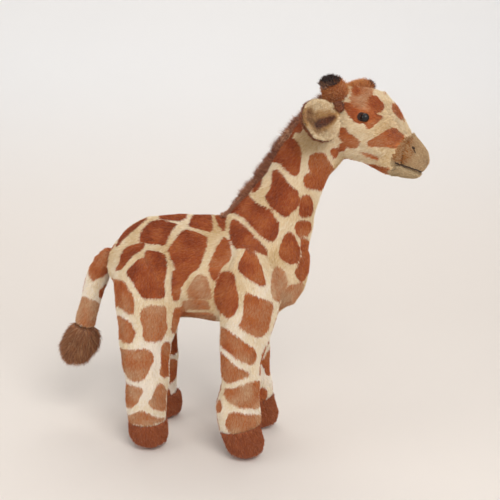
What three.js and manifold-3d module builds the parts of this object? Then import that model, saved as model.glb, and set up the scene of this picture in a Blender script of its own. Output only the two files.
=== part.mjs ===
// A plush giraffe: sewn covers over fibre filling, with a jointed tail and ears.
// Millimetres, +X is the way the toy faces, +Y is its left side, +Z is up.
// The origin is on the floor, under the middle of the toy's box.

import * as THREE from 'three';
import { mergeVertices } from 'three/addons/utils/BufferGeometryUtils.js';
import Module from 'manifold-3d';

// Cloth and sewing
const GAP = 0.3; // between pieces that touch
const COVER_WALL = 3; // knitted backing and its short pile
const SOLE_CUT = 0.5; // how much the standing sole is flattened
const OVERRUN = 13; // how far a cutting shape runs past what it cuts

// Torso
const TORSO_LENGTH = 224;
const TORSO_WIDTH = 108;
const TORSO_HEIGHT = 118;
const BELLY_HEIGHT = 140.5; // belly above the floor

// Neck
const NECK_REACH = 160;
const NECK_RISE = 167;
const NECK_WIDTH = 92; // across its base

// Head
const HEAD_LENGTH = 107.5;
const HEAD_WIDTH = 68;
const HEAD_HEIGHT = 88;

// Muzzle and chin
const SNOUT_LENGTH = 37;
const SNOUT_WIDTH = 50;
const MUZZLE_HEIGHT = 31;
const CHIN_DEPTH = 18;
const SNOUT_TILT = THREE.MathUtils.degToRad(24);
const MOUTH_THREAD_WIDTH = 1.4;
const NOSTRIL_LENGTH = 4;
const NOSTRIL_WIDTH = 2;
const NOSTRIL_THICKNESS = 1.6;

// Legs and hooves
const LEG_DEPTH = 60; // front to back at the thickest part
const HIND_LEG_WIDTH = 52;
const FORE_LEG_WIDTH = 48;
const LEG_CLOSING = 2; // how far each leg leans in towards its top
const LEG_LEAN = 15; // how far back the left legs lean towards their tops
const FORE_STEP = 2; // how far the left fore hoof stands behind the right one
const HIND_STEP = 10;
const HOOF_LENGTH = 45;
const HOOF_WIDTH = 41;
const HOOF_HEIGHT = 30;

// Tail
const TAIL_REACH = 60;
const TAIL_DROP = 100;
const TAIL_WIDTH = 28;
const TUFT_LENGTH = 50;
const TUFT_WIDTH = 37;

// Mane
const MANE_WIDTH = 10;

// Ears
const EAR_LENGTH = 40;
const EAR_WIDTH = 42;
const EAR_CLOTH = 2.4;
const EAR_CUP = 9; // how deep the ear is cupped
const EAR_ROOT = 10; // diameter of the gathered root

// Horns
const HORN_LENGTH = 22;
const HORN_WIDTH = 21;

// Eyes
const EYE_WIDTH = 10;
const EYE_DOME = 4.2;
const SHANK_WIDTH = 4;
const SHANK_LENGTH = 12;
const WASHER_WIDTH = 11;
const WASHER_THICKNESS = 1.6;
const EYELID_WIDTH = 13;
const EYELID_THICKNESS = 1.2;

// How finely the soft forms are faceted
const FINE = { sides: 16, innerSides: 12, domeRings: 2 };
const PLAIN = { sides: 12, innerSides: 8, domeRings: 1 };
const SMALL = { sides: 10, innerSides: 8, domeRings: 1 };

const BALL_ROWS = 8;
const EAR_BALL_SIDES = 14;
const TAIL_BALL_SIDES = 24;
const STITCH_SIDES = 10;
const TURNED_SIDES = 14;

// Each row of a form is one rung: rear or top point (x, z), front or bottom point (x, z), width.
const torsoShares = [
  [0.036, 0.725, 0.036, 0.287, 0.556],
  [0.089, 0.835, 0.089, 0.123, 0.778],
  [0.188, 0.945, 0.188, 0.033, 0.926],
  [0.348, 0.988, 0.348, 0.008, 0.991],
  [0.527, 0.992, 0.527, 0.0, 1.0],
  [0.683, 0.992, 0.683, 0.0, 0.963],
  [0.83, 0.943, 0.812, 0.041, 0.852],
  [0.929, 0.861, 0.884, 0.172, 0.667],
];
const neckShares = [
  [0.0, 0.198, 0.669, 0.006, 1.0],
  [0.131, 0.341, 0.694, 0.198, 0.935],
  [0.281, 0.485, 0.719, 0.341, 0.804],
  [0.388, 0.617, 0.756, 0.473, 0.696],
  [0.475, 0.76, 0.819, 0.605, 0.641],
  [0.569, 0.892, 0.912, 0.713, 0.62],
  [0.656, 0.988, 0.994, 0.772, 0.587],
];
const headShares = [
  [0.113, 0.807, 0.113, 0.398, 0.588],
  [0.245, 0.932, 0.236, 0.216, 0.838],
  [0.425, 0.994, 0.434, 0.148, 0.971],
  [0.594, 0.994, 0.566, 0.114, 1.0],
  [0.736, 0.949, 0.67, 0.057, 0.971],
  [0.849, 0.795, 0.736, 0.017, 0.897],
  [0.929, 0.636, 0.783, 0.0, 0.809],
  [0.991, 0.5, 0.821, 0.0, 0.735],
];
const muzzleShares = [
  [-0.05, 1.0, -0.05, -0.2, 1.0],
  [0.22, 0.95, 0.22, -0.19, 0.96],
  [0.46, 0.855, 0.46, -0.17, 0.9],
  [0.7, 0.74, 0.7, -0.13, 0.8],
];
const chinShares = [
  [-0.1, 0.44, -0.1, -1.0, 0.84],
  [0.16, 0.44, 0.16, -0.94, 0.82],
  [0.41, 0.44, 0.41, -0.7, 0.76],
  [0.68, 0.39, 0.68, -0.53, 0.66],
];
const hindLegShares = [
  [-0.4, 1.0, 0.33, 1.0, 0.62],
  [-0.56, 0.93, 0.51, 0.93, 0.84],
  [-0.61, 0.84, 0.66, 0.84, 0.95],
  [-0.57, 0.745, 0.717, 0.745, 1.0],
  [-0.517, 0.639, 0.583, 0.639, 1.0],
  [-0.517, 0.556, 0.467, 0.556, 0.981],
  [-0.483, 0.449, 0.433, 0.449, 0.962],
  [-0.408, 0.361, 0.433, 0.361, 0.885],
  [-0.417, 0.278, 0.375, 0.278, 0.846],
  [-0.425, 0.204, 0.342, 0.204, 0.827],
  [-0.375, 0.139, 0.325, 0.139, 0.788],
];
const foreLegShares = [
  [-0.2, 0.967, 0.5, 0.967, 0.625],
  [-0.3, 0.883, 0.667, 0.883, 0.833],
  [-0.367, 0.792, 0.717, 0.792, 0.958],
  [-0.4, 0.688, 0.683, 0.688, 1.0],
  [-0.383, 0.613, 0.583, 0.613, 1.0],
  [-0.4, 0.533, 0.467, 0.533, 0.958],
  [-0.383, 0.45, 0.375, 0.45, 0.917],
  [-0.367, 0.367, 0.367, 0.367, 0.896],
  [-0.417, 0.292, 0.35, 0.292, 0.875],
  [-0.483, 0.233, 0.375, 0.233, 0.896],
  [-0.458, 0.175, 0.383, 0.175, 0.875],
  [-0.4, 0.125, 0.333, 0.158, 0.833],
];
const hindHoofShares = [
  [-0.5, 1.067, 0.455, 1.067, 0.927],
  [-0.5, 0.8, 0.489, 0.867, 0.976],
  [-0.489, 0.533, 0.5, 0.533, 1.0],
  [-0.398, 0.267, 0.455, 0.267, 0.902],
  [-0.284, 0.133, 0.364, 0.133, 0.707],
  [-0.22, 0.067, 0.3, 0.067, 0.585],
];
const foreHoofShares = [
  [-0.522, 1.133, 0.435, 1.333, 0.902],
  [-0.478, 0.833, 0.5, 1.0, 0.951],
  [-0.402, 0.533, 0.576, 0.6, 1.0],
  [-0.315, 0.267, 0.533, 0.3, 0.902],
  [-0.196, 0.133, 0.413, 0.15, 0.683],
  [-0.13, 0.067, 0.35, 0.073, 0.561],
];
const tailShares = [
  [-0.067, 0.12, 0.067, -0.12, 0.9],
  [-0.267, 0.05, 0.017, -0.19, 0.964],
  [-0.417, -0.09, -0.033, -0.275, 1.0],
  [-0.517, -0.27, -0.117, -0.38, 0.964],
  [-0.6, -0.46, -0.208, -0.53, 0.893],
  [-0.7, -0.63, -0.292, -0.705, 0.879],
  [-0.75, -0.735, -0.333, -0.81, 0.857],
];
const tuftShares = [
  [-0.28, 0.04, 0.3, -0.14, 0.784],
  [-0.48, -0.26, 0.34, -0.36, 0.946],
  [-0.62, -0.56, 0.28, -0.6, 1.0],
  [-0.56, -0.8, 0.1, -0.8, 0.784],
];
const maneShares = [
  [0.081, 0.347, 0.172, 0.265, 1.0],
  [0.194, 0.461, 0.287, 0.381, 1.0],
  [0.294, 0.575, 0.394, 0.504, 1.0],
  [0.369, 0.689, 0.473, 0.623, 1.0],
  [0.45, 0.802, 0.55, 0.73, 1.0],
  [0.544, 0.91, 0.638, 0.831, 1.0],
  [0.631, 1.0, 0.72, 0.915, 1.0],
  [0.706, 1.066, 0.791, 0.978, 1.0],
];

const earShares = [0.2, 0.66, 0.9, 1.0, 0.96, 0.8, 0.46];
const hornShares = [
  [-0.32, 0.42, -0.32, -0.42, 0.84],
  [0.1, 0.5, 0.1, -0.5, 1.0],
  [0.42, 0.48, 0.42, -0.48, 0.96],
  [0.6, 0.42, 0.6, -0.42, 0.84],
];
const hornTipShares = [
  [0.5, 0.4, 0.5, -0.4, 0.8],
  [0.68, 0.45, 0.68, -0.45, 0.9],
  [0.82, 0.34, 0.82, -0.34, 0.68],
];

// Where pieces sit: shares along and up a form, or a share of its rungs and an angle round it
const NECK_SHARE = { alongShare: 0.504, upShare: 0.546 };
const HEAD_SHARE = { alongShare: 0.656, upShare: 0.617 };
const SNOUT_SHARE = { alongShare: 0.821, upShare: 0.205 };
const HIND_LEG_SHARE = { alongShare: 0.232, topShare: 0.64 };
const FORE_LEG_SHARE = { alongShare: 0.705, topShare: 0.8432 };
const LEG_SPREAD_SHARE = 0.741; // between the middles of a left and a right hoof
const TAIL_ROOT_SHARE = { alongShare: -0.018, upShare: 0.508 };
const TUFT_SHARE = { alongShare: -0.55, upShare: -0.77 };
const EYE_RUNG_SHARE = 0.4286;
const EYE_ANGLE = THREE.MathUtils.degToRad(107.5);
const EYE_SEAT = 1.4; // how deep the eyelid's seat is
const EYE_FACETS = 4;
const EAR_RUNG_SHARE = 0.2143;
const EAR_ANGLE = THREE.MathUtils.degToRad(124);
const EAR_STAND_SHARE = 0.42;
const EAR_START_SHARE = 0.33; // where the ear's cloth starts, in root diameters
const EAR_LINING_SHARE = 0.93;
const EAR_ROWS = 6;
const EAR_COLUMNS = 6;
const EAR_TO_TIP = new THREE.Vector3(-0.52, 0.74, -0.43);
const EAR_FACES = new THREE.Vector3(0.63, 0.66, 0.4);
const NOSTRIL_RUNG_SHARE = 0.7233;
const NOSTRIL_ANGLE = THREE.MathUtils.degToRad(119);
const MOUTH_LINE_SHARE = 0.02;
const MOUTH_STEPS = 5;
const THREAD_SIDES = 6;
const HORN_FACES = new THREE.Vector3(-1, 0, 1);
const hornLeans = {
  right: { rungShare: 0.1643, angle: THREE.MathUtils.degToRad(152), along: [-0.22, -0.3, 0.9] },
  left: { rungShare: 0.2929, angle: THREE.MathUtils.degToRad(158), along: [0.8, 0.35, 0.36] },
};

const wasm = await Module();
wasm.setup();

// The point where a form starts, from shares of the form that carries it
function pointOn(start, share, length, height) {
  const [x, z] = [share.alongShare * length, share.upShare * height];
  return new THREE.Vector3(start.x + x, 0, start.z + z);
}

const torsoAt = new THREE.Vector3(-TORSO_LENGTH / 2, 0, BELLY_HEIGHT);
const neckAt = pointOn(torsoAt, NECK_SHARE, TORSO_LENGTH, TORSO_HEIGHT);
const headAt = pointOn(neckAt, HEAD_SHARE, NECK_REACH, NECK_RISE);
const snoutAt = pointOn(headAt, SNOUT_SHARE, HEAD_LENGTH, HEAD_HEIGHT);

// One soft form: rungs turned into rings, with a rounded dome on both ends.
// grow moves the surface out, or in where it is negative.
function softRings(form, grow = {}) {
  const side = grow.side ?? 0;
  const [startGrow, endGrow] = [grow.start ?? side, grow.end ?? side];
  const lastRow = form.shares.length - 1;
  const rows = grow.inner
    ? form.shares.filter((row, i) => i % 2 === 0 || i === lastRow)
    : form.shares;
  const lean = form.lean ?? new THREE.Vector3();
  const rings = rows.map(([ax, az, bx, bz, width]) => {
    const a = new THREE.Vector3(ax * form.length, 0, az * form.height);
    const b = new THREE.Vector3(bx * form.length, 0, bz * form.height);
    const middle = a.clone().add(b).multiplyScalar(0.5);
    const half = b.clone().sub(a).multiplyScalar(0.5);
    return {
      middle: middle.clone().add(form.at).addScaledVector(lean, middle.z / form.height),
      along: half.clone().setLength(half.length() + side),
      across: (width * form.width) / 2 + side,
    };
  });
  const dome = (ring, next, share, extra) => {
    const out = ring.middle.clone().sub(next.middle).setY(0);
    out.sub(out.clone().projectOnVector(ring.along)).normalize();
    const depth = (ring.along.length() - side) * share + extra;
    const count = form.detail.domeRings;
    const capRings = [];
    for (let i = 1; i <= count; i += 1) {
      const angle = (Math.PI / 2) * (i / (count + 1));
      capRings.push({
        middle: ring.middle.clone().addScaledVector(out, depth * Math.sin(angle)),
        along: ring.along.clone().multiplyScalar(Math.cos(angle)),
        across: ring.across * Math.cos(angle),
      });
    }
    return { rings: capRings, pole: ring.middle.clone().addScaledVector(out, depth) };
  };
  const last = rings.length - 1;
  const start = dome(rings[0], rings[1], form.domeShares[0], startGrow);
  const end = dome(rings[last], rings[last - 1], form.domeShares[1], endGrow);
  return {
    rings: [...start.rings.reverse(), ...rings, ...end.rings],
    poles: [start.pole, end.pole],
  };
}

// The closed geometry of a soft form
function softGeometry(form, grow) {
  const { rings, poles } = softRings(form, grow);
  const sides = grow?.inner ? form.detail.innerSides : form.detail.sides;
  const points = [];
  const faces = [];
  for (const { middle, along, across } of rings) {
    for (let i = 0; i < sides; i += 1) {
      const angle = (2 * Math.PI * i) / sides;
      points.push(
        middle.x + along.x * Math.cos(angle),
        middle.y + across * Math.sin(angle),
        middle.z + along.z * Math.cos(angle),
      );
    }
  }
  const first = points.length / 3;
  for (const pole of poles) {
    points.push(pole.x, pole.y, pole.z);
  }
  for (let ring = 0; ring < rings.length - 1; ring += 1) {
    for (let i = 0; i < sides; i += 1) {
      const next = (i + 1) % sides;
      const [a, b] = [ring * sides + i, ring * sides + next];
      faces.push(a, b, b + sides, a, b + sides, a + sides);
    }
  }
  const lastRing = (rings.length - 1) * sides;
  for (let i = 0; i < sides; i += 1) {
    const next = (i + 1) % sides;
    faces.push(first, next, i);
    faces.push(first + 1, lastRing + i, lastRing + next);
  }
  const geometry = new THREE.BufferGeometry();
  geometry.setAttribute('position', new THREE.Float32BufferAttribute(points, 3));
  geometry.setIndex(faces);
  return geometry;
}

// A closed geometry as a solid that can be joined and cut
function solid(geometry, matrix) {
  const bare = geometry.clone();
  bare.deleteAttribute('normal');
  bare.deleteAttribute('uv');
  if (matrix) bare.applyMatrix4(matrix);
  const merged = mergeVertices(bare);
  const faces = [];
  for (let i = 0; i < merged.index.count; i += 3) {
    const [a, b, c] = [0, 1, 2].map((corner) => merged.index.getX(i + corner));
    if (a !== b && b !== c && c !== a) faces.push([a, b, c]);
  }
  const make = (triangles) =>
    new wasm.Manifold(
      new wasm.Mesh({
        numProp: 3,
        vertProperties: Float32Array.from(merged.attributes.position.array),
        triVerts: Uint32Array.from(triangles.flat()),
      }),
    );
  const made = make(faces);
  return made.volume() > 0 ? made : make(faces.map(([a, b, c]) => [a, c, b]));
}

const softSolid = (form, grow) => solid(softGeometry(form, grow), form.matrix);
const cut = (body, ...tools) => tools.reduce((left, tool) => left.subtract(tool), body);

// A solid back as a geometry with flat facets
function facets(made) {
  const mesh = made.getMesh();
  const geometry = new THREE.BufferGeometry();
  geometry.setAttribute('position', new THREE.Float32BufferAttribute(mesh.vertProperties, 3));
  geometry.setIndex(Array.from(mesh.triVerts));
  return geometry;
}

// The matrix of a piece whose own X axis points along one direction and Z axis near another
function frameAt(position, along, up) {
  const x = along.clone().normalize();
  const y = up.clone().cross(x).normalize();
  const z = x.clone().cross(y);
  return new THREE.Matrix4().makeBasis(x, y, z).setPosition(position);
}

function plush(color) {
  return new THREE.MeshStandardMaterial({ color, roughness: 0.95, metalness: 0 });
}

function fibre() {
  return new THREE.MeshStandardMaterial({ color: FIBRE, roughness: 1, metalness: 0 });
}

function plastic(color) {
  return new THREE.MeshStandardMaterial({ color, roughness: 0.12, metalness: 0 });
}

const PATCH = 0x9a4c28;
const TAN = 0xa88b62;
const RUST = 0x8a3f20;
const MANE_BROWN = 0x6b3a22;
const TUFT_BROWN = 0x7a4526;
const HORN_DARK = 0x3a2420;
const EAR_CREAM = 0xcdbb90;
const FIBRE = 0xf4f2ec;
const GLOSS_BLACK = 0x0c0a0a;
const FELT = 0x2a1a16;
const THREAD = 0x231710;
const WASHER_WHITE = 0xe6e4dc;

const toy = new THREE.Group();
const tail = new THREE.Group();
const ears = new THREE.Group();
toy.add(tail, ears);

function piece(name, geometry, material, parent = toy) {
  const mesh = new THREE.Mesh(geometry, material);
  mesh.name = name;
  parent.add(mesh);
  return mesh;
}

// The soft forms
const torso = {
  at: torsoAt,
  length: TORSO_LENGTH,
  height: TORSO_HEIGHT,
  width: TORSO_WIDTH,
  shares: torsoShares,
  domeShares: [0.3, 0.46],
  detail: FINE,
};
const neck = {
  at: neckAt,
  length: NECK_REACH,
  height: NECK_RISE,
  width: NECK_WIDTH,
  shares: neckShares,
  domeShares: [0.2, 0.3],
  detail: FINE,
};
const head = {
  at: headAt,
  length: HEAD_LENGTH,
  height: HEAD_HEIGHT,
  width: HEAD_WIDTH,
  shares: headShares,
  domeShares: [0.6, 0.25],
  detail: FINE,
};
const snoutFrame = new THREE.Matrix4()
  .makeRotationY(SNOUT_TILT)
  .setPosition(snoutAt);
const muzzle = {
  at: new THREE.Vector3(),
  length: SNOUT_LENGTH,
  height: MUZZLE_HEIGHT,
  width: SNOUT_WIDTH,
  shares: muzzleShares,
  domeShares: [0.1, 0.82],
  detail: PLAIN,
  matrix: snoutFrame,
};
const chin = {
  at: new THREE.Vector3(),
  length: SNOUT_LENGTH,
  height: CHIN_DEPTH,
  width: SNOUT_WIDTH,
  shares: chinShares,
  domeShares: [0.1, 0.95],
  detail: PLAIN,
  matrix: snoutFrame,
};

const touching = { side: GAP };
const inside = { side: -COVER_WALL, inner: true };
const filled = { side: -COVER_WALL - GAP, inner: true };

// A point on a soft form's side, with the direction that faces out of it there
function surfaceAt(form, rungShare, angle) {
  const place = (share, turn) => {
    const at = share * (form.shares.length - 1);
    const low = Math.min(Math.floor(at), form.shares.length - 2);
    const row = form.shares[low].map((value, i) =>
      THREE.MathUtils.lerp(value, form.shares[low + 1][i], at - low),
    );
    const [ax, az, bx, bz, width] = row;
    const down = (1 + Math.cos(turn)) / 2;
    const point = new THREE.Vector3(
      form.at.x + THREE.MathUtils.lerp(ax, bx, down) * form.length,
      (width * form.width * Math.sin(turn)) / 2,
      form.at.z + THREE.MathUtils.lerp(az, bz, down) * form.height,
    );
    return form.matrix ? point.applyMatrix4(form.matrix) : point;
  };
  const nudge = 1 / 1000;
  const point = place(rungShare, angle);
  const alongForm = place(rungShare + nudge, angle).sub(point);
  const roundForm = place(rungShare, angle + nudge).sub(point);
  const out = alongForm.cross(roundForm).normalize();
  const middle = place(rungShare, 0).lerp(place(rungShare, Math.PI), 1 / 2);
  if (out.dot(point.clone().sub(middle)) < 0) out.negate();
  return { point, out };
}

// A ball whose poles lie on the axis it turns about, so that its facets clear their socket
function ball(radius, frame, roundSides) {
  return solid(new THREE.SphereGeometry(radius, roundSides, BALL_ROWS), frame);
}

// A turned piece about its own Z axis, from points (radius, height)
function turned(points) {
  const profile = points.map(([radius, height]) => new THREE.Vector2(radius, height));
  return new THREE.LatheGeometry(profile, TURNED_SIDES).rotateX(Math.PI / 2);
}

function rod(radius, low, high) {
  return turned([[0, low], [radius, low], [radius, high], [0, high]]);
}

function washer(inner, outer, low, high) {
  return turned([[inner, low], [outer, low], [outer, high], [inner, high], [inner, low]]);
}

// Right is -1 and left is 1 on the Y axis
const sideSigns = { right: -1, left: 1 };
const sideNames = Object.keys(sideSigns);

const torsoAround = softSolid(torso, touching);
const torsoInner = softSolid(torso, inside);
const neckAround = softSolid(neck, touching);
const neckInner = softSolid(neck, inside);
const headAround = softSolid(head, touching);
const headInner = softSolid(head, inside);

// Tail: a stuffed tube whose round root turns in a hollow of the rump
const tailRoot = pointOn(torsoAt, TAIL_ROOT_SHARE, TORSO_LENGTH, TORSO_HEIGHT);
const tailForm = {
  at: tailRoot,
  length: TAIL_REACH,
  height: TAIL_DROP,
  width: TAIL_WIDTH,
  shares: tailShares,
  domeShares: [0.4, 0.25],
  detail: SMALL,
};
const tuftForm = {
  at: pointOn(tailRoot, TUFT_SHARE, TAIL_REACH, TAIL_DROP),
  length: TUFT_LENGTH,
  height: TUFT_LENGTH,
  width: TUFT_WIDTH,
  shares: tuftShares,
  domeShares: [0.3, 0.5],
  detail: SMALL,
};
const tailInside = { ...inside, end: COVER_WALL };
const tailFilled = { ...filled, end: -GAP };
const swingsAboutX = new THREE.Matrix4().makeRotationZ(Math.PI / 2).setPosition(tailRoot);
const tailBall = (clearance) =>
  ball(TAIL_WIDTH / 2 + clearance, swingsAboutX, TAIL_BALL_SIDES);
const tailCover = cut(
  softSolid(tailForm).add(tailBall(0)),
  softSolid(tailForm, tailInside),
);
piece('tail_cover', facets(tailCover), plush(PATCH), tail);
piece('tail_filling', facets(softSolid(tailForm, tailFilled)), fibre(), tail);
piece(
  'tail_tuft',
  facets(cut(softSolid(tuftForm), softSolid(tailForm, touching))),
  plush(TUFT_BROWN),
  tail,
);

// Eyes: seats cut in the head's cover, and the pieces that sit in them
const eyeSeats = sideNames.map((name) => {
  const { point, out } = surfaceAt(head, EYE_RUNG_SHARE, sideSigns[name] * EYE_ANGLE);
  const at = point.addScaledVector(out, -EYE_SEAT);
  return { name, frame: frameAt(at, new THREE.Vector3(1, 0, 0), out) };
});
const eyelidTop = GAP + EYELID_THICKNESS;
const eyeBase = eyelidTop + GAP;
const shankEnd = eyeBase - SHANK_LENGTH;
const washerTop = EYE_SEAT - COVER_WALL - 2 * GAP;
const washerEnd = washerTop - WASHER_THICKNESS;
const shankRadius = SHANK_WIDTH / 2;
const eyeProfile = [[0, shankEnd], [shankRadius, shankEnd], [shankRadius, eyeBase]];
for (let i = 0; i <= EYE_FACETS; i += 1) {
  const angle = (Math.PI / 2) * (i / EYE_FACETS);
  const radius = i < EYE_FACETS ? (EYE_WIDTH / 2) * Math.cos(angle) : 0;
  eyeProfile.push([radius, eyeBase + EYE_DOME * Math.sin(angle)]);
}
for (const { name, frame } of eyeSeats) {
  const place = (label, geometry, material) => {
    piece(`${label}_${name}`, facets(solid(geometry, frame)), material);
  };
  place('eye', turned(eyeProfile), plastic(GLOSS_BLACK));
  place(
    'eyelid',
    washer(shankRadius + GAP, EYELID_WIDTH / 2, GAP, eyelidTop),
    plush(FELT),
  );
  place(
    'eye_washer',
    washer(shankRadius + GAP, WASHER_WIDTH / 2, washerEnd, washerTop),
    plastic(WASHER_WHITE),
  );
}
const eyelidSeat = rod(EYELID_WIDTH / 2 + GAP, 0, OVERRUN);
const washerSeat = rod(WASHER_WIDTH / 2 + GAP, -OVERRUN, washerTop + GAP);
const shankHole = rod(shankRadius + GAP, -OVERRUN, OVERRUN);
const washerRoom = rod(WASHER_WIDTH / 2 + GAP, washerEnd - GAP, OVERRUN);
const shankRoom = rod(shankRadius + GAP, shankEnd - GAP, 0);
const inEyes = (...tools) =>
  eyeSeats.flatMap(({ frame }) => tools.map((tool) => solid(tool, frame)));

// Ears: a cupped brown back with a round root, and a cream lining inside the cup
function petal(scale, low, high) {
  const [rows, columns] = [EAR_ROWS, EAR_COLUMNS];
  const points = [];
  const faces = [];
  const halfWidth = (u) => {
    const at = u * (earShares.length - 1);
    const from = Math.min(Math.floor(at), earShares.length - 2);
    const share = THREE.MathUtils.lerp(earShares[from], earShares[from + 1], at - from);
    return (share * EAR_WIDTH) / 2;
  };
  for (const level of [high, low]) {
    for (let i = 0; i <= rows; i += 1) {
      const u = i / rows;
      for (let j = 0; j <= columns; j += 1) {
        const v = (2 * j) / columns - 1;
        const round = Math.sqrt(1 - (2 * u - 1) ** 2);
        const hollow = round ** 3 * (1 - v ** 2);
        points.push(
          EAR_START_SHARE * EAR_ROOT + EAR_LENGTH * (0.5 + (u - 0.5) * scale),
          halfWidth(u) * scale * v,
          level - EAR_CUP * hollow,
        );
      }
    }
  }
  const wide = columns + 1;
  const layer = (rows + 1) * wide;
  for (let i = 0; i < rows; i += 1) {
    for (let j = 0; j < columns; j += 1) {
      const a = i * wide + j;
      faces.push(a, a + wide, a + wide + 1, a, a + wide + 1, a + 1);
      faces.push(layer + a, layer + a + wide + 1, layer + a + wide);
      faces.push(layer + a, layer + a + 1, layer + a + wide + 1);
    }
  }
  const rim = [];
  for (let j = 0; j < columns; j += 1) rim.push(j);
  for (let i = 0; i < rows; i += 1) rim.push(i * wide + columns);
  for (let j = columns; j > 0; j -= 1) rim.push(rows * wide + j);
  for (let i = rows; i > 0; i -= 1) rim.push(i * wide);
  rim.forEach((a, i) => {
    const b = rim[(i + 1) % rim.length];
    faces.push(a, b, layer + b, a, layer + b, layer + a);
  });
  const geometry = new THREE.BufferGeometry();
  geometry.setAttribute('position', new THREE.Float32BufferAttribute(points, 3));
  geometry.setIndex(faces);
  return solid(geometry);
}

const earFrames = sideNames.map((name) => {
  const side = sideSigns[name];
  const { point, out } = surfaceAt(head, EAR_RUNG_SHARE, side * EAR_ANGLE);
  const at = point.addScaledVector(out, EAR_ROOT * EAR_STAND_SHARE);
  const along = new THREE.Vector3(EAR_TO_TIP.x, EAR_TO_TIP.y * side, EAR_TO_TIP.z);
  const face = new THREE.Vector3(EAR_FACES.x, EAR_FACES.y * side, EAR_FACES.z);
  return { name, frame: frameAt(at, along, face) };
});
const earBall = (clearance, frame) => ball(EAR_ROOT / 2 + clearance, frame, EAR_BALL_SIDES);
const liningLow = -EAR_CLOTH;
const backHigh = liningLow - GAP;
const backLow = backHigh - EAR_CLOTH;
const earBack = petal(1, backLow, backHigh).add(earBall(0));
const earLining = cut(petal(EAR_LINING_SHARE, liningLow, 0), earBall(GAP));
for (const { name, frame } of earFrames) {
  const ear = new THREE.Group();
  ear.applyMatrix4(frame);
  ears.add(ear);
  piece(`ear_back_${name}`, facets(earBack), plush(PATCH), ear);
  piece(`ear_lining_${name}`, facets(earLining), plush(EAR_CREAM), ear);
}
const earSockets = (clearance) => earFrames.map(({ frame }) => earBall(clearance, frame));

// Covers and the filling inside them
piece(
  'torso_cover',
  facets(cut(softSolid(torso), torsoInner, neckInner, tailBall(GAP))),
  plush(PATCH),
);
piece('torso_filling', facets(cut(softSolid(torso, filled), tailBall(2 * GAP))), fibre());
piece(
  'neck_cover',
  facets(cut(softSolid(neck), torsoAround, headAround, neckInner)),
  plush(PATCH),
);
piece(
  'neck_filling',
  facets(cut(softSolid(neck, filled), torsoInner, headInner)),
  fibre(),
);
piece(
  'head_cover',
  facets(
    cut(
      softSolid(head),
      headInner,
      neckInner,
      ...earSockets(GAP),
      ...inEyes(eyelidSeat, washerSeat, shankHole),
    ),
  ),
  plush(PATCH),
);
piece(
  'head_filling',
  facets(cut(softSolid(head, filled), ...earSockets(2 * GAP), ...inEyes(washerRoom, shankRoom))),
  fibre(),
);

// Legs and hooves
const floorBlock = solid(
  new THREE.BoxGeometry(2 * TORSO_LENGTH, 2 * TORSO_WIDTH, HOOF_HEIGHT).translate(
    0,
    0,
    -HOOF_HEIGHT / 2,
  ),
);
const legKinds = {
  fore: {
    ...FORE_LEG_SHARE,
    step: FORE_STEP,
    width: FORE_LEG_WIDTH,
    legShares: foreLegShares,
    hoofShares: foreHoofShares,
  },
  hind: {
    ...HIND_LEG_SHARE,
    step: HIND_STEP,
    width: HIND_LEG_WIDTH,
    legShares: hindLegShares,
    hoofShares: hindHoofShares,
  },
};
for (const [kind, leg] of Object.entries(legKinds)) {
  const [heelShare, heelUp, toeShare, toeUp] = leg.hoofShares[leg.hoofShares.length - 1];
  const soleHeight = ((heelUp + toeUp) / 2) * HOOF_HEIGHT + SOLE_CUT;
  const soleHalfLength = ((toeShare - heelShare) / 2) * HOOF_LENGTH;
  for (const name of sideNames) {
    const isLeft = name === 'left';
    const place = {
      at: new THREE.Vector3(
        torsoAt.x + leg.alongShare * TORSO_LENGTH - (isLeft ? leg.step : 0),
        (sideSigns[name] * LEG_SPREAD_SHARE * TORSO_WIDTH) / 2,
        0,
      ),
      detail: PLAIN,
    };
    const legForm = {
      ...place,
      lean: new THREE.Vector3(isLeft ? -LEG_LEAN : 0, -sideSigns[name] * LEG_CLOSING, 0),
      length: LEG_DEPTH,
      height: BELLY_HEIGHT + leg.topShare * TORSO_HEIGHT,
      width: leg.width,
      shares: leg.legShares,
      domeShares: [0.35, 0.2],
    };
    const hoofForm = {
      ...place,
      length: HOOF_LENGTH,
      height: HOOF_HEIGHT,
      width: HOOF_WIDTH,
      shares: leg.hoofShares,
      domeShares: [0.1, soleHeight / soleHalfLength],
    };
    piece(
      `leg_cover_${kind}_${name}`,
      facets(cut(softSolid(legForm), torsoAround, neckAround, softSolid(legForm, inside))),
      plush(PATCH),
    );
    piece(
      `leg_filling_${kind}_${name}`,
      facets(cut(softSolid(legForm, filled), torsoAround, neckAround)),
      fibre(),
    );
    piece(
      `hoof_${kind}_${name}`,
      facets(cut(softSolid(hoofForm), softSolid(legForm, touching), floorBlock)),
      plush(RUST),
    );
  }
}

// Mane, sewn in the seam down the back of the neck
const maneForm = {
  at: neckAt,
  length: NECK_REACH,
  height: NECK_RISE,
  width: MANE_WIDTH,
  shares: maneShares,
  domeShares: [0.6, 0.6],
  detail: SMALL,
};
piece(
  'mane',
  facets(cut(softSolid(maneForm), torsoAround, neckAround, headAround)),
  plush(MANE_BROWN),
);

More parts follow.
